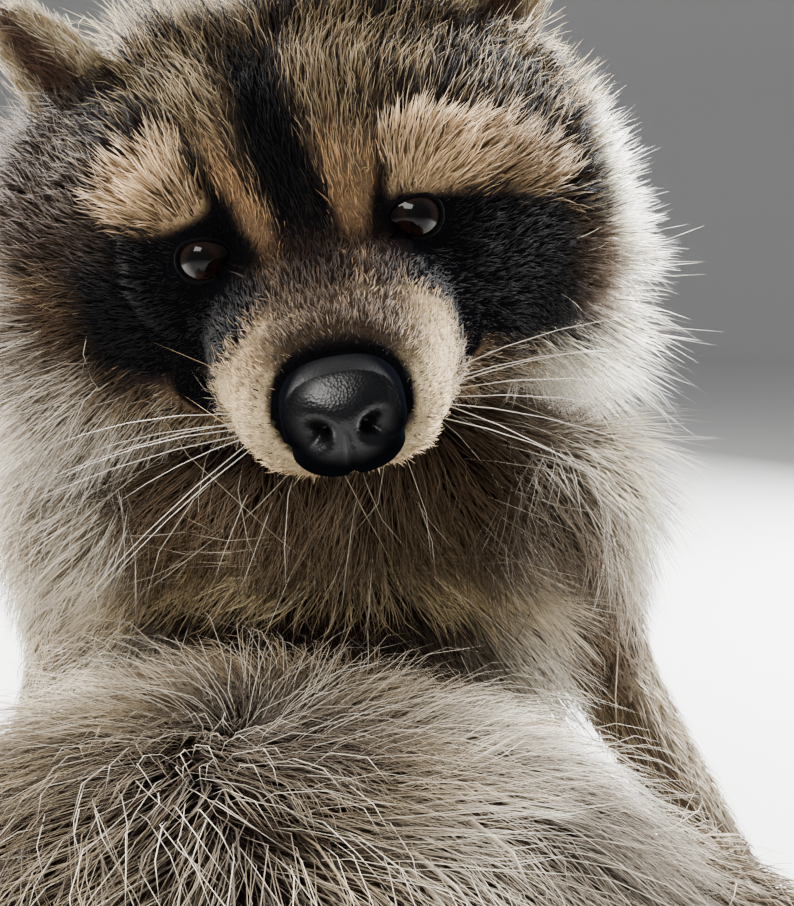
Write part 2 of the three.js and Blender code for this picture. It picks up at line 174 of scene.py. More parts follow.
class Part:
    """A sphere drawn out along a path. A station is (x, y, z, side, top, bottom, coat): its centre, the
    reach to either side, towards `up` and away from it, and the depth of the coat there, all in mm.
    The reach of the skin is the reach less the coat. `press` hollows the side away from `up` by that
    much at its middle, as in an ear."""

    def __init__(self, name, stations, up, ends, square=2.0, turn=None, at=None, press=0.0):
        self.name, self.square, self.press = name, square, press
        rows = np.array(stations, float)
        fine = np.linspace(0, 1, 1200)
        run = curve_through(rows, fine)
        distance = np.r_[0, np.cumsum(np.linalg.norm(np.diff(run[:, :3], axis=0), axis=1))]
        self.length = distance[-1]
        t = np.interp(np.linspace(0, 1, SAMPLES), distance / self.length, fine)
        self.centre = curve_through(rows[:, :3], t)
        at_station = np.linspace(0, 1, len(rows))
        columns = [curve_through(np.c_[at_station, column], t)[:, 1] for column in rows.T[3:7]]
        self.reach = np.stack(columns, -1)
        self.tangent = unit(np.gradient(self.centre, axis=0))
        up = np.asarray(up, float)
        self.high = unit(up - self.tangent * (self.tangent @ up)[:, None])
        self.wide = np.cross(self.tangent, self.high)
        self.ends = np.array(ends, float)
        if turn is not None:
            self.centre = at + self.centre @ turn.T
            self.tangent, self.high, self.wide = (v @ turn.T for v in (self.tangent, self.high, self.wide))

    def along(self, values, share):
        """A list kept per sample, read at any share of the length."""
        x = np.clip(share, 0, 1) * (SAMPLES - 1)
        i = np.minimum(x.astype(int), SAMPLES - 2)
        f = (x - i)[..., None] if values.ndim > 1 else x - i
        return values[i] * (1 - f) + values[i + 1] * f

    def rounding(self, share):
        """How far an end's rounding pulls the reach in: a quarter circle over each end's length."""
        trim = np.array([self.reach[0, 3], self.reach[-1, 3]])
        length = self.length - trim.sum()
        ends = np.maximum(self.ends - trim, 3)
        cap = lambda d, end: np.sqrt(np.clip(1 - (1 - np.minimum(d / end, 1)) ** 2, 0, 1))
        return cap(share * length, ends[0]) * cap((1 - share) * length, ends[1])

    def surface(self, share, angle):
        """Skin points: centre + wide cos(angle) side + high sin(angle) top or bottom, each less the coat.
        A `square` over 2 makes the round a blunter one: cos and sin are raised to the power 2 / square."""
        reach = self.along(self.reach, share)
        side, top, bottom = (np.maximum(reach[..., k] - reach[..., 3], 1.0) for k in range(3))
        power = lambda v: np.sign(v) * np.abs(v) ** (2 / self.square)
        cos, sin, rounded = power(np.cos(angle)), power(np.sin(angle)), self.rounding(share)
        trim = self.reach[0, 3] * (1 - share) - self.reach[-1, 3] * share
        middle = self.along(self.centre, share) + self.along(self.tangent, share) * trim[..., None]
        pressed = self.press * np.where(sin < 0, sin**2, 0) * rounded
        over = np.where(sin > 0, top, bottom) * sin * rounded + pressed
        return middle + self.along(self.wide, share) * (cos * rounded * side)[..., None] \
            + self.along(self.high, share) * over[..., None]

    def grid(self, rows, around):
        """The whole skin of the part, rows closer together towards the ends."""
        share = (1 - np.cos(np.linspace(0, np.pi, rows))) / 2
        angle = np.linspace(0, 2 * np.pi, around, endpoint=False)
        s, a = np.meshgrid(share, angle, indexing="ij")
        return self.surface(s, a)

    def locate(self, points):
        """For points in mm: the share along the path, the angle round it, and how far out they are,
        where 1 is on the skin."""
        share = np.empty(len(points))
        for start in range(0, len(points), BATCH):
            some = points[start:start + BATCH]
            gap = (some**2).sum(1)[:, None] - 2 * some @ self.centre.T + (self.centre**2).sum(1)
            share[start:start + BATCH] = gap.argmin(1) / (SAMPLES - 1)
        out = points - self.along(self.centre, share)
        share = np.clip(share + (out * self.along(self.tangent, share)).sum(1) / self.length, 0, 1)
        out = points - self.along(self.centre, share)
        x = (out * self.along(self.wide, share)).sum(1)
        y = (out * self.along(self.high, share)).sum(1)
        reach = self.along(self.reach, share)
        rounded = np.maximum(self.rounding(share), 0.05)
        side, top, bottom = (np.maximum(reach[:, k] - reach[:, 3], 1) * rounded + 1 for k in range(3))
        beyond = np.abs((out * self.along(self.tangent, share)).sum(1)) / 12
        power = self.square
        far = (np.abs(x / side) ** power + np.abs(y / np.where(y > 0, top, bottom)) ** power) ** (1 / power)
        return share, np.arctan2(y - self.press / 2, x), far + beyond


print("a part is read at", SAMPLES, "places along its path")

# %% [markdown]
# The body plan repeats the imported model's own stations, with one number more: how deep the coat is at
# each. A raccoon's skull is narrow, and most of its wide face is cheek hair; its belly is under two
# centimetres of fur, its feet under hardly any. The head has a frame of its own, centred between the
# eyes with the nose towards -Y, and is tilted as one piece.

# %% Head and trunk
def turning(axis, degrees):
    """The matrix that turns by an angle about one axis of the frame."""
    c, s = np.cos(np.radians(degrees)), np.sin(np.radians(degrees))
    i, j = [(1, 2), (2, 0), (0, 1)][axis]
    m = np.eye(3)
    m[i, i], m[i, j], m[j, i], m[j, j] = c, -s, s, c
    return m


HEAD_AT = np.array([4.0, -6.0, 274.0])
HEAD_TURN = turning(1, -10) @ turning(2, 3) @ turning(0, 12)
EYE_RADIUS = 8.5
EYES = {"left": np.array([22.0, 2.0, 2.7]), "right": np.array([-24.1, 2.0, 1.4])}
to_head = lambda p: (p - HEAD_AT) @ HEAD_TURN
from_head = lambda q: HEAD_AT + q @ HEAD_TURN.T
between = lambda a, b, share: np.asarray(a) + (np.asarray(b) - np.asarray(a)) * share
mirrored = lambda p, side: np.array(p) * [side, 1, 1]
UP, FRONT = (0, 0, 1), (0, -1, 0)

head = Part("head", [
    (0, -57, -23, 13.5, 11.5, 10, 2), (0, -46, -23.5, 21, 17.5, 15.5, 2), (0, -34, -23, 25, 21, 20.5, 2.5),
    (0, -18, -22, 29, 25, 25, 2.5), (0, 0, -20, 32, 28, 30, 3), (0, 12, -17, 50, 39, 36, 4.5),
    (0, 23, -14, 68, 51, 41, 6.5), (0, 34, -12, 79, 61, 44, 8), (0, 47, -12, 84, 69, 45, 9),
    (0, 64, -12, 80, 66, 46, 10), (0, 82, -12, 64, 54, 42, 10), (0, 98, -12, 46, 40, 36, 10)],
    UP, (7, 26), 2.4, HEAD_TURN, HEAD_AT)


def ear_part(side):
    """An ear: a thin blade that stands out of the side of the crown, pressed hollow from the front."""
    backward = np.array([-0.45 * side, 0.89, 0])
    rows = [(46, 46, 28, 15, 7, 7, 1.2), (55, 46, 43, 15.5, 7, 7, 1.2), (63, 47, 55, 12.5, 6.5, 6, 1.2),
            (70, 48, 65, 6, 5, 4, 1)]
    stations = [(x * side, *rest) for x, *rest in rows]
    return Part("ear", stations, backward, (5, 6), 2, HEAD_TURN, HEAD_AT, press=5.6)


back = Part("back", [
    (0, 40, 4, 84, 24, 44, 12), (0, 42, 45, 96, 24, 56, 15), (0, 46, 95, 90, 22, 57, 16),
    (0, 54, 142, 80, 22, 55, 15), (0, 60, 184, 76, 30, 52, 15), (1, 61, 218, 72, 40, 47, 15),
    (2, 56, 248, 60, 42, 42, 15), (3, 46, 270, 48, 38, 38, 14)], FRONT, (20, 20))

print("the head's skin is", round(2 * (head.reach[:, 0] - head.reach[:, 3]).max()), "mm wide")

# %% [markdown]
# The limbs go by their joints, one list for each side of the forelegs, which don't stand quite alike,
# and one for both hind legs. A paw is a pad with five fingers or toes, and keeps the line that each
# claw follows. The tail lies on the floor in a curve.

# %% Limbs and tail
FORELEGS = {
    "left": dict(shoulder=(60, 48, 234), elbow=(88, 79, 150), wrist=(143, 84, 54), palm=(152, 68, 19)),
    "right": dict(shoulder=(-60, 48, 232), elbow=(-82, 80, 148), wrist=(-116, 84, 46), palm=(-126, 68, 18)),
}
HIND = dict(hip=(80, 42, 68), knee=(126, -84, 92), ankle=(106, -166, 36), heel=(104, -178, 13),
            ball=(118, -192, 76))
DIGITS = 5


def foreleg_part(shoulder, elbow, wrist, palm):
    """From the shoulder to the palm, narrowing all the way."""
    return Part("foreleg", [
        (*shoulder, 36, 34, 34, 13), (*between(shoulder, elbow, 0.5), 27, 30, 28, 9),
        (*elbow, 19.5, 21, 22, 6), (*between(elbow, wrist, 0.5), 14.5, 15, 15, 3.5),
        (*wrist, 11.5, 10.5, 10.5, 2), (*between(wrist, palm, 0.6), 13, 9, 9, 1.5)], FRONT, (26, 6))


def thigh_part(side):
    """From the hip to the knee, stout and round."""
    hip, knee = (mirrored(HIND[k], side) for k in ("hip", "knee"))
    return Part("hindleg", [
        (*hip, 50, 56, 62, 14), (*between(hip, knee, 0.45), 49, 60, 64, 14),
        (*between(hip, knee, 0.82), 44, 44, 50, 12), (*knee, 36, 32, 38, 10)], UP, (40, 30))


def shank_part(side):
    """From within the knee to the heel, narrowing."""
    hip, knee, ankle, heel = (mirrored(HIND[k], side) for k in ("hip", "knee", "ankle", "heel"))
    return Part("hindleg", [
        (*between(hip, knee, 0.92), 34, 30, 36, 10), (*between(knee, ankle, 0.35), 30, 26, 32, 7),
        (*between(knee, ankle, 0.75), 20, 18, 20, 4), (*ankle, 15, 15, 16, 2.5),
        (*between(ankle, heel, 0.5), 14, 14, 14, 2)], UP, (24, 8))


def digit_part(knuckle, tip, thick, rise):
    """A finger or toe, a little thinner towards its end."""
    round_to = lambda share: [thick * share] * 3
    return Part("paw", [(*knuckle, *round_to(1), 0.6), (*between(knuckle, tip, 0.5), *round_to(0.9), 0.5),
                        (*tip, *round_to(0.85), 0.4)], rise, (thick, thick * 0.9))


def digits_and_claws(knuckles, tips, thick, claw, rise):
    """The fingers or toes of one paw, and for each the line that its claw follows."""
    lines = [(knuckle, tip, thick, claw, rise) for knuckle, tip in zip(knuckles, tips)]
    return [digit_part(knuckle, tip, thick, rise) for knuckle, tip, *_ in lines], lines


SPREADS = np.linspace(-1, 1, DIGITS)


def forepaw_parts(side, wrist, palm, **_):
    """The pad and fingers of a forepaw, and the line of each claw."""
    forward = unit((np.array(palm) - wrist) * [1, 1, 0])
    across = np.array([forward[1], -forward[0], 0])
    at_height = lambda height: np.array([palm[0], palm[1], height])
    place = lambda ahead, sideways, height: at_height(height) + forward * ahead + across * sideways
    pad = Part("paw", [(*between(wrist, palm, 0.5), 11, 8, 8, 1.2), (*palm, 16, 9, 10, 1),
                       (*place(12, 0, 9), 16, 7.5, 8.5, 0.8), (*place(20, 0, 7.5), 14, 6, 7, 0.6)],
               (0, -0.6, 0.8), (5, 6))
    knuckles = [place(16, s * 10.5, 8.5) for s in SPREADS]
    tips = [place(50 - 9 * s * s - (6 if s * side > 0.9 else 0), s * 24, 4.2) for s in SPREADS]
    return pad, *digits_and_claws(knuckles, tips, 4.6, 11, np.array(UP, float))


def hindfoot_parts(side):
    """The sole and toes of a hind foot, and the line of each claw."""
    heel, ball = np.array(HIND["heel"], float), np.array(HIND["ball"], float)
    toeward = unit(ball - heel)
    instep = np.array([0, 1, 0.18])
    instep = unit(instep - toeward * (instep @ toeward))
    across = np.cross(toeward, instep)
    place = lambda ahead, sideways, behind=0: mirrored(
        ball + toeward * ahead + across * sideways + instep * behind, side)
    rise = mirrored(instep, side)
    line = lambda share: mirrored(between(heel, ball, share), side)
    sole = Part("paw", [(*line(-0.04), 13, 16, 9, 1.5), (*line(0.35), 15, 14, 9, 1.2),
                        (*line(0.75), 18, 11, 9, 1), (*line(1), 18, 9, 8.5, 0.8)], rise, (11, 9))
    knuckles = [place(-4, s * 12.5) for s in SPREADS]
    tips = [place(33 - 8 * s * s + 2 * s, s * 19.5, -1) for s in SPREADS]
    return sole, *digits_and_claws(knuckles, tips, 5.2, 10, rise)


tail = Part("tail", [
    (0, 72, 34, 28, 26, 28, 12), (-6, 112, 30, 29, 27, 29, 15), (-30, 160, 29, 33, 31, 31, 18),
    (-78, 200, 29, 35, 33, 32, 20), (-136, 214, 28, 34, 32, 31, 20), (-188, 202, 26, 29, 27, 28, 17),
    (-222, 180, 22, 20, 19, 22, 12)], UP, (10, 24))

SIDES = {"left": 1, "right": -1}
limbs, digits, claw_lines = [], [], []
for name, side in SIDES.items():
    limbs += [foreleg_part(**FORELEGS[name]), thigh_part(side), shank_part(side)]
    for pad, fingers, claws in (forepaw_parts(side, **FORELEGS[name]), hindfoot_parts(side)):
        limbs.append(pad)
        digits += fingers
        claw_lines += claws
ears = [ear_part(side) for side in SIDES.values()]
print(len(limbs), "limb parts,", len(digits), "fingers and toes,", len(claw_lines), "claws to come")

# %% [markdown]
# The belly is no tube: it is a round sack that bulges evenly to all sides, squarer than a ball. Its
# surface is a ball whose points are pushed out until |x|^p + |y|^p + |z|^p is one.

# %% Belly
class Belly:
    """A rounded block: centre, three reaches and the power p, rolled a little, less the coat's depth."""
    name = "belly"
    centre, reach = np.array([-8.0, -13.0, 72.0]), np.array([122.0, 97.0, 109.0])
    power, coat, roll = 2.4, 16.0, turning(1, 3)

    def grid(self, rows, around):
        lat, lon = np.meshgrid(np.linspace(0, np.pi, rows), np.linspace(0, 2 * np.pi, around, endpoint=False),
                               indexing="ij")
        ball = np.stack([np.sin(lat) * np.cos(lon), np.sin(lat) * np.sin(lon), np.cos(lat)], -1)
        ball /= (np.abs(ball) ** self.power).sum(-1, keepdims=True) ** (1 / self.power)
        return self.centre + (ball * (self.reach - self.coat)) @ self.roll.T

    def locate(self, points):
        """The height share, the bearing, and how far out, where 1 is on the skin."""
        p = (points - self.centre) @ self.roll / (self.reach - self.coat)
        far = (np.abs(p) ** self.power).sum(1) ** (1 / self.power)
        return (p[:, 2] + 1) / 2, np.arctan2(p[:, 1], p[:, 0]), far


belly = Belly()
parts = [head, *ears, back, belly, *limbs, *digits, tail]
print("belly skin is", (2 * (belly.reach - belly.coat)).round(), "mm across")

# %% [markdown]
# The skin is one closed surface. The parts' grids run into each other, so they are melted together:
# a voxel remesh wraps whatever they enclose in one even net, and a few rounds of moving every point
# towards the middle of its neighbours take away the steps and soften the creases between parts.

# %% One skin
VOXEL = 2.6
FLOOR_CLEARANCE = 0.6


def melted(surfaces, voxel):
    """One net of triangles round all the closed grids, in mm."""
    points, faces, first = [], [], 0
    for grid in surfaces:
        p, f = closed_surface(grid)
        f = facing_out(p, f)
        points.append(p)
        faces += [corners + first for corners in f]
        first += len(p)
    rough = mesh_object("rough", np.concatenate(points) * MM, faces)
    remesh = rough.modifiers.new("melt", "REMESH")
    remesh.mode, remesh.voxel_size = "VOXEL", voxel * MM
    net = rough.evaluated_get(bpy.context.evaluated_depsgraph_get()).to_mesh()
    net.calc_loop_triangles()
    points = np.empty(len(net.vertices) * 3, np.float32)
    net.vertices.foreach_get("co", points)
    tris = np.empty(len(net.loop_triangles) * 3, np.int32)
    net.loop_triangles.foreach_get("vertices", tris)
    bpy.data.objects.remove(rough)
    return points.reshape(-1, 3).astype(float) / MM, tris.reshape(-1, 3)


def edges_of(tris):
    """Each edge of the net once, as a pair of point numbers."""
    pairs = np.sort(np.concatenate([tris[:, [0, 1]], tris[:, [1, 2]], tris[:, [2, 0]]]), 1)
    return np.unique(pairs, axis=0)


def smoothed(points, edges, rounds, strength):
    """Each point moved by `strength` of the way to the mean of its neighbours, `rounds` times."""
    a, b = edges.T
    count = np.bincount(np.r_[a, b], minlength=len(points))[:, None]
    for _ in range(rounds):
        near = np.stack([np.bincount(np.r_[a, b], np.r_[points[b, k], points[a, k]], len(points))
                         for k in range(3)], -1)
        points = points + (near / count - points) * strength[:, None]
    return points


def finer(points, tris, chosen):
    """Cuts each edge between two chosen points in half, so that its triangles become two or four."""
    edges = edges_of(tris)
    cut = chosen[edges].all(1)
    count = len(points)
    key = edges[cut, 0].astype(np.int64) * count + edges[cut, 1]
    middle = count + np.arange(cut.sum())
    points = np.concatenate([points, points[edges[cut]].mean(1)])

    def half(a, b):
        """The number of the point halfway from a to b, or -1 where that edge isn't cut."""
        want = np.minimum(a, b).astype(np.int64) * count + np.maximum(a, b)
        found = np.minimum(np.searchsorted(key, want), len(key) - 1)
        return np.where(key[found] == want, middle[found], -1)

    a, b, c = tris.T
    ab, bc, ca = half(a, b), half(b, c), half(c, a)
    cuts = (ab >= 0).astype(int) + (bc >= 0) + (ca >= 0)
    out = [tris[cuts == 0]]
    rows_of = lambda *triangles: np.concatenate([np.stack(corners, -1) for corners in triangles])
    a3, b3, c3, ab3, bc3, ca3 = (v[cuts == 3] for v in (a, b, c, ab, bc, ca))
    out.append(rows_of((a3, ab3, ca3), (ab3, b3, bc3), (ca3, bc3, c3), (ab3, bc3, ca3)))
    # With one cut edge the triangle is split in two; the corners are turned until that edge is a-b.
    one = cuts == 1
    corners = np.stack([a, b, c], -1)[one]
    halves = np.stack([ab, bc, ca], -1)[one]
    turn = (halves >= 0).argmax(1)
    rows = np.arange(len(turn))
    p, q, r = (corners[rows, (turn + k) % 3] for k in range(3))
    m = halves[rows, turn]
    out.append(rows_of((p, m, r), (m, q, r)))
    return points, np.concatenate(out)


grids = [head.grid(44, 48)] + [e.grid(26, 24) for e in ears] + [back.grid(48, 48), belly.grid(40, 56)]
grids += [p.grid(30, 28) for p in limbs] + [p.grid(12, 12) for p in digits] + [tail.grid(44, 28)]
skin, tris = melted(grids, VOXEL)
skin[:, 2] = np.maximum(skin[:, 2], FLOOR_CLEARANCE)
on_head = to_head(skin)
fine_part = (on_head[:, 1] < 40) & (on_head[:, 2] < 45) & (on_head[:, 2] > -60) & (skin[:, 2] > 205)
paws = np.min([p.locate(skin)[2] for p in parts if p.name == "paw"], axis=0) < 1.35
# Paws keep their shape, the face most of it, and the rest is smoothed hardest.
strength = np.where(paws, 0.12, np.where(fine_part, 0.4, 0.55))
skin = smoothed(skin, edges_of(tris), 5, strength)
skin, tris = finer(skin, tris, fine_part)
print("skin:", len(skin), "points,", len(tris), "triangles")

# %% [markdown]
# The net is now shaped where bare features show through the hair: a low mound with an opening for each
# eye, the two whisker pads, the groove under the nose and the line of the mouth. Each is a soft push
# on the points close to it, so that nothing is cut and the skin stays whole.

# %% Eyelids, whisker pads and mouth
def gaze(side):
    """Where an eye looks, in the head's frame: ahead, a little out and up."""
    return unit(np.array([0.16 * side, -1.0, 0.13]))


def eye_axes(side):
    """The gaze, the level direction towards the outer corner, and the direction up the eye."""
    ahead = gaze(side)
    outward = unit(np.cross(ahead, [0, 0, 1]) * -side)
    rise = unit(np.array([0, 0, 1]) - ahead * ahead[2])
    return ahead, outward, rise


def opening(turn):
    """Half-angle of the eye's opening: an ellipse drawn out to a point at the inner corner."""
    return np.radians(33 + 7 * np.cos(turn) ** 2 + 9 * np.maximum(-np.cos(turn), 0) ** 6
                      - 5 * np.maximum(np.sin(turn), 0) ** 2)


def seen_from_eye(q, name):
    """An eye's gaze; and for points of the head their offset from it, how far ahead they lie, and the
    turn round the gaze."""
    ahead, outward, rise = eye_axes(SIDES[name])
    v = q - EYES[name]
    return ahead, v, v @ ahead, np.arctan2(v @ rise, v @ outward)


LID_RADIUS, BEHIND_EYE = 9.2, 6.8
# Beyond this distance from the gaze the lid leaves its ball and slopes down to the face.
LID_FOOT = 7.6
q = to_head(skin)
for name, centre in EYES.items():
    ahead, v, forth, turn = seen_from_eye(q, name)
    off = np.sqrt(np.maximum((v**2).sum(1) - forth**2, 1e-9))
    close = (off < 22) & (forth > -9) & (forth < 20)
    ball = np.sqrt(np.maximum(LID_RADIUS**2 - off**2, 0))
    lid = np.where(off < LID_FOOT, ball, 5.5 - (off - LID_FOOT) * 0.36)
    lift = np.where(close, np.maximum(lid - forth, 0) * step(22, 17, off), 0)
    forth = forth + lift
    v = v + ahead * lift[:, None]
    # Inside the opening the skin goes behind the eyeball.
    angle = np.arctan2(off, forth)
    hole = np.where(close & (forth > 0), step(opening(turn) + 0.05, opening(turn) - 0.1, angle), 0)
    far = np.linalg.norm(v, axis=1)
    v = v * (1 - hole * (1 - BEHIND_EYE / np.maximum(far, BEHIND_EYE)))[:, None]
    q = centre + v

nose_base = np.array([0, -50, -22.0])
for side in SIDES.values():
    pad = np.exp(-((q - [13 * side, -46, -29]) ** 2).sum(1) / 90)
    q = q + unit(q - nose_base) * (2.2 * pad)[:, None]
mouth_height = -26 + (q[:, 1] + 14) * 12 / 66
mouth = np.exp(-((q[:, 2] - mouth_height) / 1.3) ** 2) * step(-8, -16, q[:, 1])
philtrum = np.exp(-(q[:, 0] / 1.1) ** 2) * step(-44, -52, q[:, 1]) * step(-27, -31, q[:, 2])
inward = unit(np.array([0, -30, -24.0]) - q)
q = q + inward * (2.0 * mouth + 1.6 * philtrum)[:, None]
skin = from_head(q)


def point_normals(points, tris):
    """At each point, the sum of the cross products of the triangles round it, made one long; and the
    area of each triangle, half its cross product."""
    a, b, c = (points[tris[:, k]] for k in range(3))
    face = np.cross(b - a, c - a)
    total = np.stack([np.bincount(tris.ravel(), np.repeat(face[:, k], 3), len(points))
                      for k in range(3)], -1)
    return unit(total), np.linalg.norm(face, axis=1) / 2


normals, areas = point_normals(skin, tris)
print("skin area:", round(areas.sum() / 100), "square cm")

# %% [markdown]
# Every point of the skin is asked which part it lies on: the part whose own skin it is nearest to.
# Hair grown there follows that part's path and takes its markings, with neighbours blended in close
# to a border so that no seam shows in the lie of the coat.

# %% Which part each point is on
PART_NAMES = ["head", "ear", "back", "belly", "foreleg", "hindleg", "paw", "tail"]


def locate_all(points):
    """For each part and point: share along, angle round, and distance out, 1 on that part's skin."""
    return np.stack([np.stack(p.locate(points)) for p in parts])


def on_part(where):
    """The nearest part's number, and the nearness of each part as weights that add up to one."""
    out = where[:, 2]
    weights = np.exp(-(out - out.min(0)) * 9)
    return out.argmin(0), weights / weights.sum(0)


part_kind = np.array([PART_NAMES.index(p.name) for p in parts])
skin_where = locate_all(skin)
skin_part, skin_weights = on_part(skin_where)
skin_share, skin_angle, _ = skin_where[skin_part, :, np.arange(len(skin))].T
kind_share = {name: skin_weights[part_kind == i].sum(0) for i, name in enumerate(PART_NAMES)}
print({name: int((part_kind[skin_part] == i).sum()) for i, name in enumerate(PART_NAMES)})

# %% [markdown]
# The lie of the coat. Hair points away from the nose, back over the head, down the neck and trunk and
# out along each limb and the tail. On this belly it parts round a whorl and runs out from there. The
# directions of the parts near a point are added by weight and then laid flat on the skin.

# %% Lie of the coat
WHORL = np.array([-15.0, -18.0, 166.0])
NOSE_TIP = np.array([0, -78, -24])
BACKWARD_AND_DOWN = np.array([0, 0.2, -1.0])


def ridge_height(points):
    """Height of the fold under the chest: an arch over the middle, 194 - 0.0035 x**2."""
    return 194 - 0.0035 * points[:, 0] ** 2


def front_half(angle):
    """1 on the front of the trunk and 0 on its back, by the angle round its path."""
    return step(-0.2, 0.45, np.sin(angle))


def head_way(h):
    """Away from the nose, and then by place: upward in the brows, outward on the cheeks, downward at
    the throat and the nape, and away from either eye."""
    x, y, z = h.T
    brow = step(0, 14, z) * step(-20, 5, y) * step(60, 30, y)
    upward = unit(np.stack([x * 0.022, 0 * x + 0.15, 0 * x + 1.0], -1))
    cheek = step(20, 44, np.abs(x)) * step(28, 8, z)
    outward = unit(np.stack([np.sign(x) * 1.0, 0 * x + 0.45, 0.1 - 1.2 * step(0, -45, z)], -1))
    throat = step(-38, -52, z) * step(-20, 10, y)
    way = unit(h - NOSE_TIP) + upward * (1.3 * brow)[:, None] + outward * (1.4 * cheek)[:, None]
    way = way + np.array([0, 0.4, -1.2]) * throat[:, None]
    for centre in EYES.values():
        from_eye = h - centre
        close = np.exp(-(from_eye**2).sum(1) / 170)
        way = way + unit(from_eye * [1, 0.2, 1]) * (1.6 * close)[:, None]
    nape = step(46, 82, y) * step(70, 30, z)
    return mix(unit(way) @ HEAD_TURN.T, np.tile(BACKWARD_AND_DOWN, (len(h), 1)), nape)


def trunk_way(p, angle):
    """Down the trunk, to either side along the fold, and out and forward on the flanks."""
    x, _, z = p.T
    front = front_half(angle)
    sideways = step(10, 52, np.abs(x)) * step(100, 160, z)
    fold = front * step(12, 6, np.abs(z - ridge_height(p) - 2))
    apart = np.tanh((x - 10) / 16) * (0.25 * front + 1.2 * sideways + 3.0 * fold)
    down = -1 + (0.2 + 0.5 * step(210, 236, z)) * sideways
    way = np.stack([apart, 0.1 - 0.35 * front, down], -1)
    sweep = np.stack([0.6 * np.sign(x), 0 * x - 0.5, 0 * x - 0.8], -1)
    return mix(way, sweep, sideways * front * step(222, 205, z))


def belly_way(p, normal):
    """Out from the whorl, turned round it close by, and a little downward far from it."""
    away = p - WHORL
    far = np.linalg.norm(away, axis=1)
    turned = np.cross(normal, unit(away))
    way = unit(away) + turned * (0.9 * np.exp(-far / 45) + 0.25 * drift(p, 60, 9))[:, None]
    return way + np.array([0, -0.05, -0.25]) * step(20, 120, far)[:, None]


def limb_way(part, share):
    """Along the part's own path; close to a shoulder also out and forward, like the flank beside it."""
    way = part.along(part.tangent, share)
    if part.name != "foreleg":
        return way
    sweep = np.array([0.6 * np.sign(part.centre[0, 0]), -0.5, -0.8])
    return mix(way, sweep, step(0.36, 0.16, share))


def lie(points, normal, where, weights):
    """Unit directions along the skin in which the hair at each point grows."""
    flow = np.zeros_like(points)
    for part, place, weight in zip(parts, where, weights):
        near = weight > 0.01
        p, share, angle = points[near], place[0][near], place[1][near]
        if part.name == "head":
            way = head_way(to_head(p))
        elif part.name == "back":
            way = trunk_way(p, angle)
        elif part.name == "belly":
            way = belly_way(p, normal[near])
        else:
            way = limb_way(part, share)
        flow[near] += unit(way) * weight[near][:, None]
    flow -= normal * (flow * normal).sum(1, keepdims=True)
    return unit(flow)


skin_lie = lie(skin, normals, skin_where, skin_weights)
print("hair runs down over", round(100 * (skin_lie[:, 2] < 0).mean()), "% of the skin")

# %% [markdown]
# Colours are written as painters' swatches and turned into linear light. Markings are drawn with soft
# bars and bands; the two helpers that make a bar are here as well.

# %% Swatches and soft bars
def paint(swatch):
    """A six-figure swatch in linear light, by the usual curve for screens."""
    c = np.array([int(swatch[k:k + 2], 16) for k in (0, 2, 4)]) / 255
    return np.where(c <= 0.04045, c / 12.92, ((c + 0.055) / 1.055) ** 2.4)


COAT = {name: paint(code) for name, code in {
    "black": "08080a", "soft_black": "17110f", "dark": "2e2520", "cold_brown": "453b34", "brown": "4f3d2e",
    "umber": "645845", "mid_brown": "725f45", "grey": "9c8d79", "grey_tan": "a09274", "buff": "b5a077",
    "tan": "b08a60", "cream": "d8c39b", "pale": "e8dfca", "white": "fbfaf6", "muzzle": "98815f",
    "light_muzzle": "ad9974", "brow": "bd9e77", "light_brow": "d6bc98", "ear_inside": "3f2b22"}.items()}


def capsule(x, z, a, b, ra, rb, soft=1.5):
    """1 within a rounded bar from a to b, as wide as ra and rb at its ends, fading over `soft` mm."""
    a, b = np.array(a, float), np.array(b, float)
    t = np.clip(((x - a[0]) * (b - a)[0] + (z - a[1]) * (b - a)[1]) / ((b - a) ** 2).sum(), 0, 1)
    away = np.hypot(x - a[0] - t * (b - a)[0], z - a[1] - t * (b - a)[1])
    r = ra + (rb - ra) * t
    return step(r + soft, r - soft, away)


def bars(x, z, *rows):
    """How far any of several rounded bars covers each point."""
    return np.max([capsule(x, z, *row) for row in rows], axis=0)


print("swatches:", len(COAT))

# %% [markdown]
# The face. Each marking is a soft-edged shape on the head, in mm from the midpoint between the eyes:
# the muzzle, the black mask between its upper and lower edge, the stripe up the forehead with a thin
# tan line on each side, the pale brows and the white of the cheeks. They aren't quite the same on both
# sides, as on any animal.

# %% Markings of the face
def nose_distance(q):
    """Distance from the middle of the nose pad, as seen from the front: 1 on its oval rim."""
    return np.hypot(q[:, 0] / 11.8, (q[:, 2] + 21.5) / 10.2)


# Whisker spots sit in rows: the first one's place, mm between spots along the muzzle, and between rows.
SPOT_AT = (-54, -24)
SPOT_APART, SPOT_ROWS = 5.6, 3.6
# Height of the mask's upper and lower edge by distance from the middle of the face, on each side.
MASK_OUT = [5, 12, 20, 32, 46, 60, 74]
MASK_TOP = {1: [-8, 2, 10, 7, 3, -3, -16], -1: [-9, 3, 12.5, 8.5, 9.5, 8, 0]}
MASK_LOW = {1: [-9, -13, -19, -27, -33, -35, -24], -1: [-11, -14, -19, -24, -26, -20, -7]}
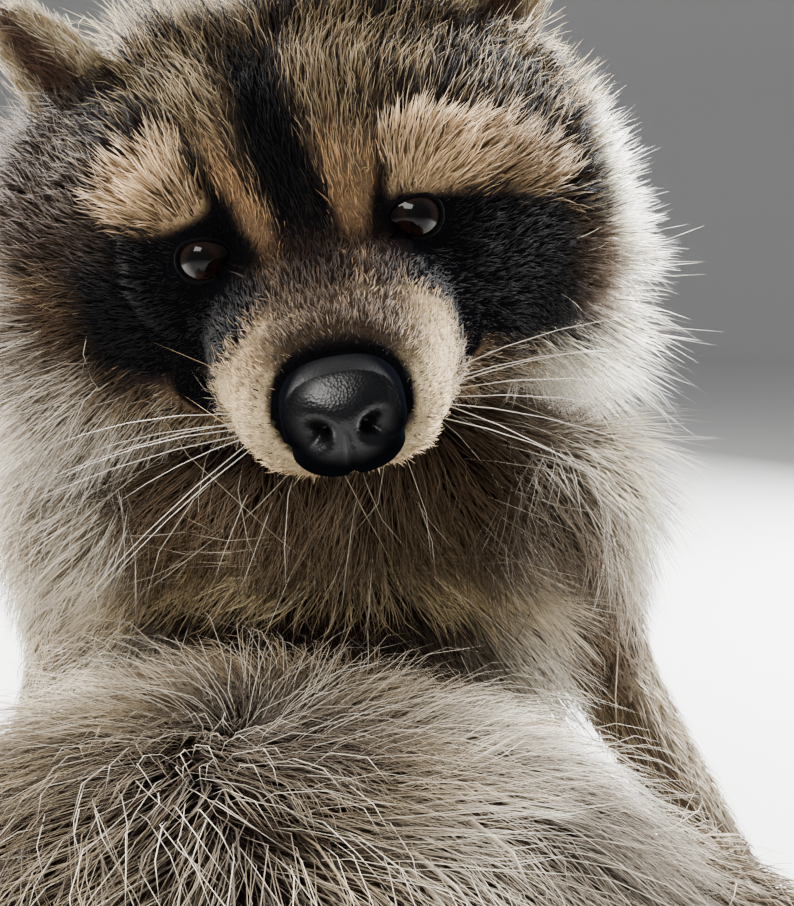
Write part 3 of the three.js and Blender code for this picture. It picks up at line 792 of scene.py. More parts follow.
# Bars on the face, as (x, z) of both ends, the width at each, and the softness of the edge.
TAN_PATCHES = [((10.5, 36), (10, 18), 9, 6.5, 3), ((-22, 34), (-17, 24), 8, 4, 3)]
TAN_LINES = [((10, 17), (9, 6), 6, 3), ((9, 6), (8, -3), 3, 1.4),
             ((-19, 24), (-9.5, 1), 2.4, 1.7), ((-9.5, 1), (-7, -6), 1.7, 1.2)]
BROWS = [((-28.5, 17.5), (-38, 15), 7.5, 6, 2), ((24, 14.5), (41, 12.5), 7.5, 5.5, 2),
         ((41, 12.5), (55, 5), 5.5, 3, 2)]
BROW_GAPS = [((-23, 21), (-18.5, 9), 1.4, 2.4), ((17, 20), (15, 4), 1.2, 3)]


def face_shapes(q):
    """How much of each marking covers each point of the head, from 0 to 1."""
    x, y, z = q.T
    out = np.abs(x)
    front = step(48, 40, y)
    one_side = lambda table, sign: np.interp(out, MASK_OUT, table[sign])
    edge = lambda table: np.where(x > 0, one_side(table, 1), one_side(table, -1))
    over_low_edge = step(-1.8, 1.8, z - edge(MASK_LOW))
    half = np.where(x > 0, 20 + 0.95 * (-8.5 - z), 11 + 1.0 * (-5 - z))
    muzzle = step(-19, -27, y + 1.1 * np.maximum(z + 12, 0)) \
        * np.maximum(step(1.5, -1.5, out - half), step(-21, -24, z))
    mask = step(1.5, -1.5, z - edge(MASK_TOP)) * over_low_edge * step(5, 8, out) * front \
        * np.where(x > 0, step(74, 68, out), step(62, 55, out))
    stripe_x = 2 - 0.262 * (z + 3)
    stripe = step(2, -2, np.abs(x - stripe_x) - 8.5 + 0.07 * np.maximum(z, 0)) * step(-9, -3, z) \
        * step(56, 38, z) * front
    bridge = step(-2, -14, y) * step(20, 10, np.abs(x - 2)) * step(-22, -15, z) * step(-66, -58, y)
    corner = np.where(x > 0, step(4.5, 3, np.linalg.norm(q - [32, 3, -30], axis=1)),
                      step(10, 7, np.linalg.norm(q - [-34, 4, -30.5], axis=1)))
    cheek = step(0, 8, out - 64 + 0.8 * np.clip(-8 - z, 0, 32)) * step(26, 8, z) * step(14, 26, y) \
        * step(58, 36, y)
    along = 0.5 + 0.5 * np.cos(2 * np.pi * (y - SPOT_AT[0]) / SPOT_APART)
    down = 0.5 + 0.5 * np.cos(2 * np.pi * (z - SPOT_AT[1]) / SPOT_ROWS)
    spots = step(0.72, 0.92, along * down) * step(10, 13, out) * step(-62, -57, y) * step(-26, -32, y) \
        * step(-19, -22, z)
    return dict(
        muzzle=muzzle, muzzle_top=muzzle * step(-21, -11, z - 0.12 * x), mask=mask * (1 - muzzle),
        stripe=stripe * (1 - muzzle), tan_line=bars(x, z, *TAN_LINES) * front,
        tan_patch=bars(x, z, *TAN_PATCHES) * front, brow=bars(x, z, *BROWS) * front,
        gap=bars(x, z, *BROW_GAPS) * front, bridge=bridge, cheek=cheek,
        under=step(-1, -6, z - edge(MASK_LOW)) * (1 - muzzle) * step(4, 16, out), corner=corner,
        pad_rim=step(1.24, 1.14, nose_distance(q)) * step(-44, -50, y), spots=spots)


print("markings of the face:", ", ".join(face_shapes(to_head(skin[:1]))))

# %% [markdown]
# Hair has three colours along its length: at its root, its middle and its tip. A marking mixes its own
# three over what lies below it. Every tuft has a number from its dice, so that dark and pale hairs
# stand side by side, and so that the edges of some markings fray.

# %% Colours of the head's hair
def layered(colours, layers):
    """Root, middle and tip colours, with layers of (cover, root, middle, tip swatches) mixed over them."""
    for cover, *swatches in layers:
        colours = [c if swatch is None else mix(c, COAT[swatch], cover)
                   for c, swatch in zip(colours, swatches)]
    return colours


def plain(swatch, count):
    """The same colour for each of many hairs."""
    return np.tile(COAT[swatch], (count, 1))


# Layers of the face from the lowest up: marking, how strong it is, and its three swatches.
FACE_LAYERS = [
    ("under", 1, "brown", "mid_brown", "pale"), ("cheek", 1, "mid_brown", "pale", "white"),
    ("brow", 1, "mid_brown", "brow", "light_brow"), ("mask", 1, "black", "black", "soft_black"),
    ("gap", 1, "black", "black", "black"), ("stripe", 1, "black", "black", "soft_black"),
    ("tan_line", 0.9, "dark", "tan", "tan"), ("tan_patch", 0.9, "dark", "mid_brown", "cream"),
    ("muzzle", 1, "grey_tan", "muzzle", "light_muzzle"), ("muzzle_top", 0.8, "brown", "mid_brown", "tan"),
    ("bridge", 0.9, "soft_black", "dark", "brown"), ("spots", 0.7, "black", "dark", "dark"),
    ("pad_rim", 1, "black", "black", "black"), ("corner", 1, "black", "black", "black")]
# Markings that some hairs leave out: where the fade starts and ends, the dice's offset and the drift's share.
FRAYED = {"bridge": (-0.5, -0.05, 0.35, 0.3), "muzzle_top": (-0.5, -0.05, 0.35, 0.3),
          "tan_patch": (-0.3, 0.2, 0.35, 0.3), "under": (-0.3, 0.2, 0.35, 0.3), "brow": (-0.4, 0.0, 0.3, 0.2)}


def head_coat(q, dice):
    """Root, middle and tip colours of hair on the head. Base hairs are dark or pale-tipped by their dice."""
    x, y, z = q.T
    s = face_shapes(q)
    pale_one = step(0.54, 0.84, dice + 0.22 * drift(q, 15, 5) - 0.16 * step(-22, -40, x)
                    + 0.12 * step(26, 36, z) * step(44, 30, np.abs(x)))
    mid = mix(plain("soft_black", len(q)), COAT["mid_brown"], pale_one)
    tip = mix(plain("black", len(q)), COAT["cream"], pale_one)
    warm = step(-42, -60, x) * step(30, 6, z)
    mid, tip = mix(mid, COAT["brown"], 0.7 * warm), mix(tip, COAT["tan"], 0.35 * warm)
    strands = 0.15 + 0.85 * step(0.35, 0.62, dice + 0.3 * drift(q, 12, 8))
    s["cheek"] = s["cheek"] * np.where(x > 0, 1, (0.65 + 0.3 * step(-5, -30, z)) * strands)
    for name, (low, high, less, waves) in FRAYED.items():
        s[name + " frayed"] = step(low, high, dice - less + waves * drift(q, 9, 6))
    outer_edge = 0.75 * s["mask"] * step(57, 68, x)
    temple = 0.85 * step(-42, -50, x) * step(-2, 8, z) * step(82, 62, y) * (1 - s["brow"])
    outer_brow = s["brow"] * step(32, 46, np.abs(x)) * 0.8
    layers = [(s[name] * strength * s.get(name + " frayed", 1), *swatches)
              for name, strength, *swatches in FACE_LAYERS]
    layers += [(outer_edge, "dark", "brown", "mid_brown"), (temple, "black", "dark", "brown"),
               (outer_brow, None, "brown", "mid_brown")]
    return layered([plain("dark", len(q)), mid, tip], layers)


print("layers on the face:", len(FACE_LAYERS), "frayed:", len(FRAYED))

# %% [markdown]
# The body's markings go by part: the fold under the chest with painted shade in the crease below it, the
# light flanks, the brown upper arm, the ringed tail, and on the belly painted shade in the hollows where the
# coat parts and painted highlight on the bands between them.

# %% Colours of the body's hair
TAIL_RINGS = 6
# Painted shade on the belly in the hollows where the coat parts, and painted highlight on the bands between
# them: x, y, z and width in mm.
SHADED_HOLLOWS = [(-14, -28, 164, 25), (-10, -62, 157, 17), (-46, -50, 155, 13), (53, -35, 146, 22),
           (34, -70, 145, 13), (-30, 6, 165, 13)]
HIGHLIGHT_BANDS = [(-66, 38, 153, 35), (-98, 2, 134, 26), (40, -2, 157, 23), (64, 34, 150, 27), (92, 28, 128, 34),
         (22, -46, 158, 9), (-66, -34, 150, 11)]


def arm_band(points):
    """1 on the front of the left upper arm, a band from the shoulder down to the elbow."""
    return capsule(points[:, 0], points[:, 2], (61, 208), (87, 156), 11, 9, 4) * step(84, 66, points[:, 1])


def closeness(points, centres):
    """exp(-(distance / width)**2) from the nearest of some round places."""
    return np.max([np.exp(-((points - at) ** 2).sum(1) / wide**2) for *at, wide in centres], axis=0)


def body_coat(points, normal, kind, share, angle, dice):
    """Root, middle and tip colours of hair on the trunk, limbs, ears and tail."""
    x, y, z = points.T
    on = {name: (kind == i).astype(float) for i, name in enumerate(PART_NAMES)}
    n = len(points)
    pale_one = step(0.5, 0.8, dice + 0.3 * drift(points, 34, 7))
    base = [plain("cold_brown", n), mix(plain("umber", n), COAT["grey"], pale_one),
            mix(plain("soft_black", n), COAT["pale"], pale_one)]
    front = on["back"] * front_half(angle)
    above = z - ridge_height(points)
    ridge = front * step(11, 5, np.abs(above)) * step(70, 50, np.abs(x))
    # The crease below the fold is coloured darker: painted shade.
    crease = front * step(-5, -9, above) * step(56, 36, np.abs(x))
    chest = front * step(6, 14, above)
    side = step(30, 54, np.abs(x)) * step(90, 130, z) * on["back"] * step(72, 50, y)
    side = np.maximum(side, on["foreleg"] * step(0.32, 0.1, share) * step(66, 48, y))
    outer = on["foreleg"] * step(0.1, 0.6, normal[:, 0] * np.sign(x)) * step(0.8, 0.6, share) \
        * step(0.4, -0.1, normal[:, 1])
    tail_wave = 0.5 + 0.5 * np.cos(2 * np.pi * (share * TAIL_RINGS))
    ring = np.maximum(step(0.36, 0.52, tail_wave), step(0.9, 0.95, share)) * on["tail"]
    # The bands are painted highlight on the belly; the hollows get painted shade below.
    band = on["belly"] * closeness(points, HIGHLIGHT_BANDS)
    dark_lock = on["belly"] * (1 - 0.8 * band) * step(0.8, 0.5, dice + 0.3 * drift(points, 24, 8))
    tuft = on["belly"] * step(-8, 8, y) * step(60, 20, np.abs(x - 15))
    ear_front = on["ear"] * step(0.1, -0.3, np.sin(angle)) * step(1.0, 0.75, np.abs(np.cos(angle))) \
        * step(0.97, 0.85, share)
    return layered(base, [
        (on["foreleg"] * 0.45, "dark", "mid_brown", "cream"), (outer * 0.7, "mid_brown", "pale", "white"),
        (side * 0.9, "mid_brown", "pale", "white"),
        (side * step(0, -30, x) * pale_one * 0.9, "dark", "brown", "grey_tan"),
        (chest * step(64, 44, np.abs(x)) * 0.88, "dark", "brown", "mid_brown"),
        (chest * capsule(x, z, (38, 224), (52, 196), 6, 5, 5) * 0.85, "black", "dark", "brown"),
        # The dark crease layer is painted shade under the fold of the chest.
        (ridge * 0.7, "brown", "buff", "cream"), (crease * 0.92, "soft_black", "dark", "brown"),
        (arm_band(points) * 0.88, "dark", "brown", "mid_brown"),
        (on["belly"] * 0.95, "dark", "mid_brown", "cream"),
        (on["belly"] * step(0, 60, x) * 0.6, "brown", "grey_tan", "white"),
        (on["belly"] * step(-50, -100, x) * 0.7, "brown", "buff", "white"),
        # Painted highlight on the bands, then painted shade in the hollows where the coat parts.
        (band * 0.92, "mid_brown", "pale", "white"),
        (on["belly"] * closeness(points, SHADED_HOLLOWS) * 0.92, "black", "dark", "brown"),
        (tuft * 0.75, "brown", "tan", "cream"), (dark_lock * 0.8, "black", "dark", "brown"),
        (on["belly"] * step(112, 84, z) * 0.8, "cold_brown", "umber", "grey_tan"),
        (on["tail"] * 0.8, "dark", "grey_tan", "cream"), (ring * 0.95, "black", "black", "soft_black"),
        (on["paw"] * 0.8, "dark", "grey_tan", "pale"), (on["ear"] * 0.9, "mid_brown", "grey_tan", "pale"),
        (ear_front, "dark", "ear_inside", "brown")])


print("belly:", len(SHADED_HOLLOWS), "places of painted shade,", len(HIGHLIGHT_BANDS), "bands of painted highlight; tail:", TAIL_RINGS, "rings")

# %% [markdown]
# Skin and hair ask the same functions for their colour, so that bare skin never shows through wrongly.
# The skin takes the dark root colours, and the soles are black.

# %% Colours of the skin
def coat_colours(points, normal, where, weights, nearest, dice):
    """The colours of all hair, blended where the head meets the neck."""
    kind = part_kind[nearest]
    share, angle, _ = where[nearest, :, np.arange(len(points))].T
    body = body_coat(points, normal, kind, share, angle, dice)
    face = head_coat(to_head(points), dice)
    on_head = weights[part_kind == 0].sum(0) * (kind != PART_NAMES.index("ear"))
    return [mix(b, f, np.clip(on_head * 1.4 - 0.2, 0, 1)) for b, f in zip(body, face)]


EVEN_DICE = np.full(len(skin), 0.5)
skin_root, skin_mid, _ = coat_colours(skin, normals, skin_where, skin_weights, skin_part, EVEN_DICE)
skin_colour = mix(skin_root, skin_mid, np.full(len(skin), 0.25))
sole = step(-0.15, -0.35, np.sin(skin_angle)) * kind_share["paw"]
skin_colour = mix(skin_colour, COAT["black"], sole)
print("mean skin colour:", skin_colour.mean(0).round(3))

# %% [markdown]
# Materials come from nodes only. Hair reads the colour that was worked out for it, kept in the mesh as
# an attribute, and a fine noise breaks it up so that no two hairs match. Settings that are the same
# everywhere sit on the shader itself.

# %% Materials
def material(name, roughness, specular):
    """A new material, and its tree and shader to hang more nodes on."""
    made = bpy.data.materials.new(name)
    made.use_nodes = True
    shader = made.node_tree.nodes["Principled BSDF"]
    shader.inputs["Roughness"].default_value = roughness
    shader.inputs["Specular IOR Level"].default_value = specular
    return made, made.node_tree, shader


def node(tree, kind, **settings):
    """A new node; a setting is one of its properties, or else the value on an input of that name."""
    made = tree.nodes.new(kind)
    for key, value in settings.items():
        if hasattr(made, key):
            setattr(made, key, value)
        else:
            made.inputs[key].default_value = value
    return made


def kept_colour(tree):
    """The node that reads what `keep_colour` stores on a mesh."""
    return node(tree, "ShaderNodeAttribute", attribute_name="coat")


def noise(tree, scale, detail=3.0):
    """Noise on Object coordinates, with about `scale` lumps per metre."""
    place = node(tree, "ShaderNodeTexCoord")
    made = node(tree, "ShaderNodeTexNoise", Scale=scale, Detail=detail)
    tree.links.new(place.outputs["Object"], made.inputs["Vector"])
    return made.outputs["Fac"]


def varied(tree, colour, factor, low, high):
    """The colour times a number that runs from low to high with the factor."""
    span = node(tree, "ShaderNodeMapRange")
    span.inputs["From Min"].default_value, span.inputs["From Max"].default_value = 0.3, 0.7
    span.inputs["To Min"].default_value, span.inputs["To Max"].default_value = low, high
    scaled = node(tree, "ShaderNodeVectorMath", operation="SCALE")
    tree.links.new(factor, span.inputs["Value"])
    tree.links.new(colour, scaled.inputs[0])
    tree.links.new(span.outputs[0], scaled.inputs["Scale"])
    return scaled.outputs[0]


def bumped(tree, shader, height, distance, strength=0.5):
    """Hangs a bump on the shader; `distance` is its depth in metres."""
    bump = node(tree, "ShaderNodeBump", Strength=strength, Distance=distance)
    tree.links.new(height, bump.inputs["Height"])
    tree.links.new(bump.outputs[0], shader.inputs["Normal"])


def coat_material(name, roughness, specular, grain, low, high, bump=0.0):
    """A material that reads the kept colour, times noise from low to high, with lumps if bump is over 0."""
    made, tree, shader = material(name, roughness, specular)
    colour = varied(tree, kept_colour(tree).outputs["Color"], noise(tree, grain), low, high)
    tree.links.new(colour, shader.inputs["Base Color"])
    if bump:
        bumped(tree, shader, noise(tree, grain * 2, 4.0), bump)
    return made


hair_material = coat_material("hair", 0.7, 0.09, 700, 0.82, 1.2)
skin_material = coat_material("skin under the coat", 0.85, 0.0, 1500, 0.65, 1.3, bump=0.0012)
print("materials so far:", len(bpy.data.materials))

# %% [markdown]
# The skin becomes a piece here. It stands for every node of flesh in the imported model, and carries
# the markings as an attribute on its points.

# %% Skin piece
def keep_colour(mesh, colours):
    """Stores linear colours on the points under the name that the materials read."""
    layer = mesh.attributes.new("coat", "FLOAT_COLOR", "POINT")
    layer.data.foreach_set("color", np.c_[colours, np.ones(len(colours))].astype(np.float32).ravel())


skin_piece = mesh_object("skin", skin * MM, [tris])
keep_colour(skin_piece.data, skin_colour)
bare = {"nose", "eye_left", "eye_right"}
finish_piece(skin_piece, skin_material, "face_coat", *[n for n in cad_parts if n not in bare])
print("the skin stands for", len(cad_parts) - len(bare), "nodes")

# %% [markdown]
# What the hair is like at each place: how long, how steeply it stands, and how thick it grows. Hair is
# one to five millimetres long on the muzzle, up to five centimetres on the cheeks and belly. There is none
# over the eye's opening, on the nose or on the soles.

# %% Length, lift and growth of the hair
LIP_CORNERS = (([-33, 2, -29], 20), ([32, 3, -30], 13))
q = to_head(skin)
shapes = face_shapes(q)
x_head, y_head, z_head = q.T
out_head = np.abs(x_head)
x_skin, y_skin, z_skin = skin.T
k = kind_share


def blend_field(layers, start):
    """Numbers laid over each other: where a layer's share is 1, its own value holds."""
    value = np.full(len(skin), float(start))
    for share, number in layers:
        value += (number - value) * share
    return value


neck_height = step(185, 225, z_skin)
side_neck = k["back"] * step(28, 48, np.abs(x_skin)) * step(130, 190, z_skin) * step(100, 70, y_skin)
chest_front = k["back"] * front_half(skin_angle)
above_ridge = z_skin - ridge_height(skin)
crease = chest_front * step(-5, -9, above_ridge)
arm = arm_band(skin) * (1 - k["head"])
knee = k["hindleg"] * sum(np.exp(-(((skin - mirrored(HIND["knee"], side)) / 42) ** 2).sum(1))
                          for side in SIDES.values())
from_whorl = np.linalg.norm(skin - WHORL, axis=1)
near_whorl = lambda width: np.exp(-((from_whorl / width) ** 2))
head_length = blend_field([
    (step(0, 26, y_head), 14), (step(26, 46, y_head) * step(0, 30, z_head), 33 - 11 * step(60, 85, y_head)),
    (shapes["under"] * step(20, 34, out_head), 22),
    (step(36, 60, out_head) * step(14, 34, y_head) * step(30, 6, z_head), 28 + 24 * step(5, -35, z_head)),
    (step(52, 64, x_head) * step(-26, -10, z_head) * step(10, 24, y_head), 16),
    (shapes["mask"], 6.0), (shapes["stripe"], 6.5), (shapes["tan_line"], 6.5), (shapes["brow"], 13),
    (shapes["mask"] * step(56, 74, out_head), 11), (shapes["muzzle"], 5.2),
    (shapes["muzzle"] * step(-44, -60, y_head), 2.6), (shapes["pad_rim"], 1.2), (shapes["corner"], 2.5)], 8)
head_lift = blend_field([
    (step(0, 26, y_head), 36), (step(26, 46, y_head), 56), (shapes["mask"], 22), (shapes["brow"], 40),
    (shapes["muzzle"], 17), (step(50, 68, out_head) * step(12, 32, y_head), 50),
    (step(34, 50, out_head) * step(2, -14, z_head) * step(12, 30, y_head), 56)], 24)
length = blend_field([
    (k["head"], head_length), (k["back"], 29 + 13 * neck_height), (chest_front, 34), (side_neck, 46),
    (arm, 20), (chest_front * step(16, 8, above_ridge), 32), (crease, 15),
    (k["belly"], 36 - 14 * near_whorl(22) + 15 * step(50, 95, x_skin)),
    (k["foreleg"], 12 + 22 * step(0.42, 0.0, skin_share)), (k["hindleg"], 26 - 12 * skin_share), (knee, 11),
    (k["tail"], 36), (k["tail"] * step(0.88, 1, skin_share), 24), (k["ear"], 7.5), (k["paw"], 5.0)], 20)
lift = blend_field([
    (k["head"], head_lift), (k["back"], 34 + 18 * neck_height), (side_neck, 54), (arm, 24),
    (k["belly"], 28 + 16 * near_whorl(25)), (crease, 15), (k["foreleg"], 30), (k["hindleg"], 34), (knee, 22),
    (k["tail"], 42), (k["ear"], 26), (k["paw"], 22)], 25)

# How far the hair stands off instead of lying down again towards its tip.
fringe = k["head"] * step(12, 30, y_head) \
    * np.maximum(step(58, 72, out_head), step(38, 58, out_head) * step(0, -20, z_head))
shoulder = k["foreleg"] * step(0.35, 0, skin_share)
stand = fringe + 0.9 * side_neck * (1 - arm) + 0.4 * k["belly"] + 0.3 * k["back"]
stand = stand + 0.25 * (k["hindleg"] - knee) + 0.25 * k["foreleg"] + 0.5 * k["tail"]
stand = stand + 0.75 * k["head"] * step(26, 46, y_head) * step(90, 60, y_head) + 0.5 * shoulder
stand = np.clip(stand, 0, 1)

growth = np.ones(len(skin))
for name in EYES:
    ahead, v, forth, turn = seen_from_eye(q, name)
    away = np.linalg.norm(np.cross(v, ahead), axis=1)
    edge = 8.9 * np.sin(opening(turn))
    near_eye = (forth > -6) & (away < 24)
    growth *= np.where(near_eye, step(edge - 0.3, edge + 0.5, away), 1)
    length *= np.where(near_eye, 0.3 + 0.7 * step(edge, edge + 12, away), 1)
for at, reach in LIP_CORNERS:
    length *= 0.3 + 0.7 * step(reach * 0.4, reach, np.linalg.norm(q - at, axis=1))
growth *= 1 - step(1.12, 1.0, nose_distance(q)) * step(-46, -50, y_head)
growth *= 1 - sole
growth *= 1 + 2.5 * near_whorl(20)
growth *= step(1.5, 5, z_skin)
growth *= 1 - 0.6 * step(-0.5, -0.9, normals[:, 2]) * (1 - k["head"])
print("hair is", length.min().round(1), "to", length.max().round(1), "mm long")

# %% [markdown]
# Hair is grown as solid tufts: thin blades of three sides that taper to a point. Their roots are drawn
# over the skin's triangles in proportion to area and growth, in an order that keeps neighbours
# together, so that every few in a row can make a lock.

# %% Roots, blades and their map
BITS = 10
UV_PATCH = 0.003


def neighbour_order(points):
    """Order in which points close together come close in the list: the bits of x, y and z interleaved."""
    cell = ((points - points.min(0)) / np.ptp(points, axis=0) * (2**BITS - 1)).astype(np.uint64)
    code = np.zeros(len(points), np.uint64)
    for bit in range(BITS):
        for axis in range(3):
            code |= ((cell[:, axis] >> np.uint64(bit)) & np.uint64(1)) << np.uint64(3 * bit + axis)
    return np.argsort(code, kind="stable")


order = neighbour_order(skin[tris].mean(1))


def places(count, density, dice):
    """Triangle and corner shares of `count` roots, spread evenly over the running sum of area x density."""
    running = np.cumsum((areas * density[tris].mean(1))[order])
    pick = (np.arange(count) + dice.random(count)) / count * running[-1]
    chosen = order[np.minimum(np.searchsorted(running, pick), len(order) - 1)]
    a, b = dice.random((2, count))
    fold = a + b > 1
    a, b = np.where(fold, 1 - a, a), np.where(fold, 1 - b, b)
    return chosen, np.stack([1 - a - b, a, b], -1)


def unwrap(points, nearest):
    """A place on a flat map for each root: angle and share on its part, in one cell for each part, and
    for the head rings round the nose, which keep the muzzle from being pinched."""
    present = np.unique(nearest)
    flat = np.empty((len(points), 2))
    for cell, i in enumerate(present):
        on = nearest == i
        share, angle, _ = parts[i].locate(points[on])
        if parts[i].name == "head":
            r = share**0.8 / 2
            uv = np.stack([0.5 + r * np.cos(angle), 0.5 + r * np.sin(angle)], -1)
        else:
            uv = np.stack([angle / (2 * np.pi) + 0.5, share], -1)
        flat[on] = uv * [0.96 / len(present), 0.96] + [cell / len(present), 0.02]
    low, high = flat.min(0), flat.max(0)
    return 0.01 + (flat - low) / np.maximum(high - low, 1e-6) * 0.975


def blades(paths, widths, sideways, thick=0.4):
    """Points and faces of tapered blades, one for each path: three corners at each place but the last,
    across the blade and on its back, then the point of the tip."""
    count, nodes = paths.shape[:2]
    rings = nodes - 1
    along = unit(np.gradient(paths, axis=1)[:, :rings])
    across = unit(sideways[:, None] - along * (along * sideways[:, None]).sum(-1, keepdims=True))
    back = np.cross(along, across)
    taper = np.array([1.0, 0.86, 0.6, 0.42][:rings]) if rings > 2 else np.array([1.0, 0.72])
    w = widths[:, None, None] * taper[None, :, None]
    ring = np.stack([paths[:, :rings] - across * w / 2, paths[:, :rings] + across * w / 2,
                     paths[:, :rings] + back * w * thick], 2)
    points = np.concatenate([ring.reshape(count, -1, 3), paths[:, -1:]], 1)
    per = rings * 3 + 1
    last = [(per - 4, per - 3), (per - 3, per - 2), (per - 2, per - 4)]
    caps = np.array([(0, 2, 1), *((a, b, per - 1) for a, b in last)])
    first = np.arange(count)[:, None, None] * per
    faces = [(tube_faces(rings, 3) + first).reshape(-1, 4), (caps + first).reshape(-1, 3)]
    return points.reshape(-1, 3), faces


def blade_map(piece, flat, rings):
    """The OFBake map: each blade has a small patch at its root's place, ring by ring up to the tip."""
    ring = np.array([[[0, 0], [1, 0], [0.5, 1]]]) * [1, 0.25]
    local = ring + np.arange(rings)[:, None, None] / rings * [0, 1] * 0.75
    local = np.concatenate([local.reshape(-1, 2), [[0.5, 1.0]]]) * UV_PATCH
    uv = (flat[:, None] + local).reshape(-1, 2)
    corners = np.empty(len(piece.data.loops), np.int32)
    piece.data.loops.foreach_get("vertex_index", corners)
    layer = piece.data.uv_layers.new(name="OFBake")
    layer.data.foreach_set("uv", uv[corners].astype(np.float32).ravel())


print("triangles to grow on:", len(order))

# %% [markdown]
# A piece of coat. Each tuft starts a little below the skin and takes two or three steps along the lie
# of the coat. The tips of a lock lean towards each other. Guard hairs are the thin long ones that stand
# out of the softer hair below them.

# %% One piece of coat
GUARD_HAIR = dict(width=0.42, length=1.2, steeper=5)
SOFT_HAIR_LENGTH = 0.95
LOWEST_TIP = 0.8
IN_FRONT_OF_EYE, CUT_TO = 25, 0.35


def tuft_colours(root, normal, nearest_point, is_guard, lock_of, rings, paler, dice):
    """A colour for each corner of each blade: root to middle in the lower half, middle to tip above."""
    count, locks = len(root), lock_of[-1] + 1
    own = dice.random(count) * 0.6 + dice.random(locks)[lock_of] * 0.4 + np.where(is_guard, 0.25, -0.08)
    spread = root + dice.normal(0, 1.1, (count, 3))
    low, middle, high = coat_colours(spread, normal, skin_where[:, :, nearest_point],
                                     skin_weights[:, nearest_point], skin_part[nearest_point], own)
    shade = (dice.uniform(0.8, 1.2, count) * dice.uniform(0.85, 1.15, locks)[lock_of])[:, None]
    middle, high = (mix(middle, high, np.where(is_guard, 0.3, 0.0)),
                    mix(high, middle, np.where(is_guard, 0.0, 0.5)))
    toward = COAT["pale" if paler > 0 else "dark"]
    low, middle, high = (mix(c, toward, np.full(count, abs(paler))) for c in (low, middle, high))
    ramp = [mix(low, middle, np.full(count, min(u * 2, 1))) + (high - middle) * max(u * 2 - 1, 0)
            for u in np.linspace(0, 1, rings + 1)]
    ramp = np.stack(ramp, 1) * shade[:, None]
    return np.concatenate([np.repeat(ramp[:, :rings], 3, 1), ramp[:, -1:]], 1).reshape(-1, 3)


def coat(name, slot, density, count, width, lock=6, clump=0.55, rings=3, guard=0.35, stretch=1.0,
         steeper=0.0, droop=0.12, hug=0.28, ragged=0.2, swirl=0.0, wavy=0.5, seed=1, paler=0.0):
    """Grows one piece of coat. A tuft's direction is the lie of the coat, raised by its lift at the root and
    laid down again towards the tip, with a pull to the ground, a slight wave, and the lock's own lean."""
    dice = np.random.default_rng(seed)
    count = int(count * (1)) // lock * lock
    width = width * 1
    chosen, share = places(count, density * growth, dice)
    corners = tris[chosen]
    at = lambda field: np.einsum("nk,nk...->n...", share, field[corners])
    root, normal, way = at(skin), unit(at(normals)), unit(at(skin_lie))
    nearest_point = corners[np.arange(count), share.argmax(1)]
    lock_of, locks = np.arange(count) // lock, count // lock
    is_guard = dice.random(count) < guard
    long = at(length) * stretch * dice.uniform(0.72, 1.12, count) * dice.uniform(0.85, 1.1, locks)[lock_of]
    long *= np.where(is_guard, GUARD_HAIR["length"], SOFT_HAIR_LENGTH)
    angle = at(lift) + steeper + dice.normal(0, 5, count) + np.where(is_guard, GUARD_HAIR["steeper"], 0)
    rise = np.tan(np.radians(np.clip(angle, 4, 70)))
    side = np.cross(normal, way)
    flat = 1 - 0.85 * at(stand)
    lean = dice.normal(0, ragged, locks)[lock_of] + dice.normal(0, ragged * 0.6, count)
    lean = lean + swirl * drift(root, 38, seed)
    wave, phase = dice.normal(0, ragged * wavy, count), dice.uniform(0, 2 * np.pi, count)

    path = [root - normal * np.minimum(0.5, 0.12 * long)[:, None]]
    for segment in range(rings):
        u = (segment + 0.5) / rings
        bend = rise * (1 - 1.25 * flat * u) - hug * u * flat * np.minimum(long / 30, 1.3)
        sway = lean * (0.5 + u) + wave * np.sin(phase + 2.6 * u)
        d = unit(way + normal * bend[:, None] + side * sway[:, None])
        d = d + np.array([0, 0, -droop]) * u * np.minimum(long / 25, 1)[:, None]
        path.append(path[-1] + unit(d) * (long / rings)[:, None])
    path = np.stack(path, 1)
    together = path.reshape(locks, lock, rings + 1, 3).mean(1)[lock_of]
    pull = clump * np.linspace(0, 1, rings + 1) ** 1.4
    path = path + (together - path) * pull[None, :, None] * dice.uniform(0.5, 1, count)[:, None, None]
    path[..., 2] = np.maximum(path[..., 2], LOWEST_TIP)
    # A hair whose tip would hang over an eye is cut short. This loop's `name` replaces the piece's own,
    # so all pieces of the coat are called "right", most of them with a number behind it.
    for name in EYES:
        ahead, tip, forth, _ = seen_from_eye(to_head(path[:, -1]), name)
        aside = np.linalg.norm(np.cross(tip, ahead), axis=1)
        over = (forth > 0) & (forth < IN_FRONT_OF_EYE) & (aside < EYE_RADIUS)
        path[over] = path[over, :1] + (path[over] - path[over, :1]) * CUT_TO

    slender = np.where(is_guard, GUARD_HAIR["width"], 1)
    widths = width * slender * dice.uniform(0.8, 1.2, count) * np.clip(long / 6, 0.55, 1)
    points, faces = blades(path, widths, side)
    colours = tuft_colours(root, normal, nearest_point, is_guard, lock_of, rings, paler, dice)
    piece = mesh_object(name, points * MM, faces)
    keep_colour(piece.data, np.clip(colours, 0, 0.95))
    blade_map(piece, unwrap(root, skin_part[nearest_point]), rings)
    finish_piece(piece, hair_material, slot)
    triangles = sum(len(f) * (f.shape[1] - 2) for f in faces)
    print(f"{name}: {count} tufts, {triangles} triangles")
    return triangles


print("a guard hair is", round(GUARD_HAIR["length"] / SOFT_HAIR_LENGTH, 2), "times as long as one below it")

# %% [markdown]
# The coat is grown in pieces, so that each stays light. The face has the finest and shortest tufts,
# because it is looked at from closest; the trunk has broad soft ones under thin pale guard hairs.

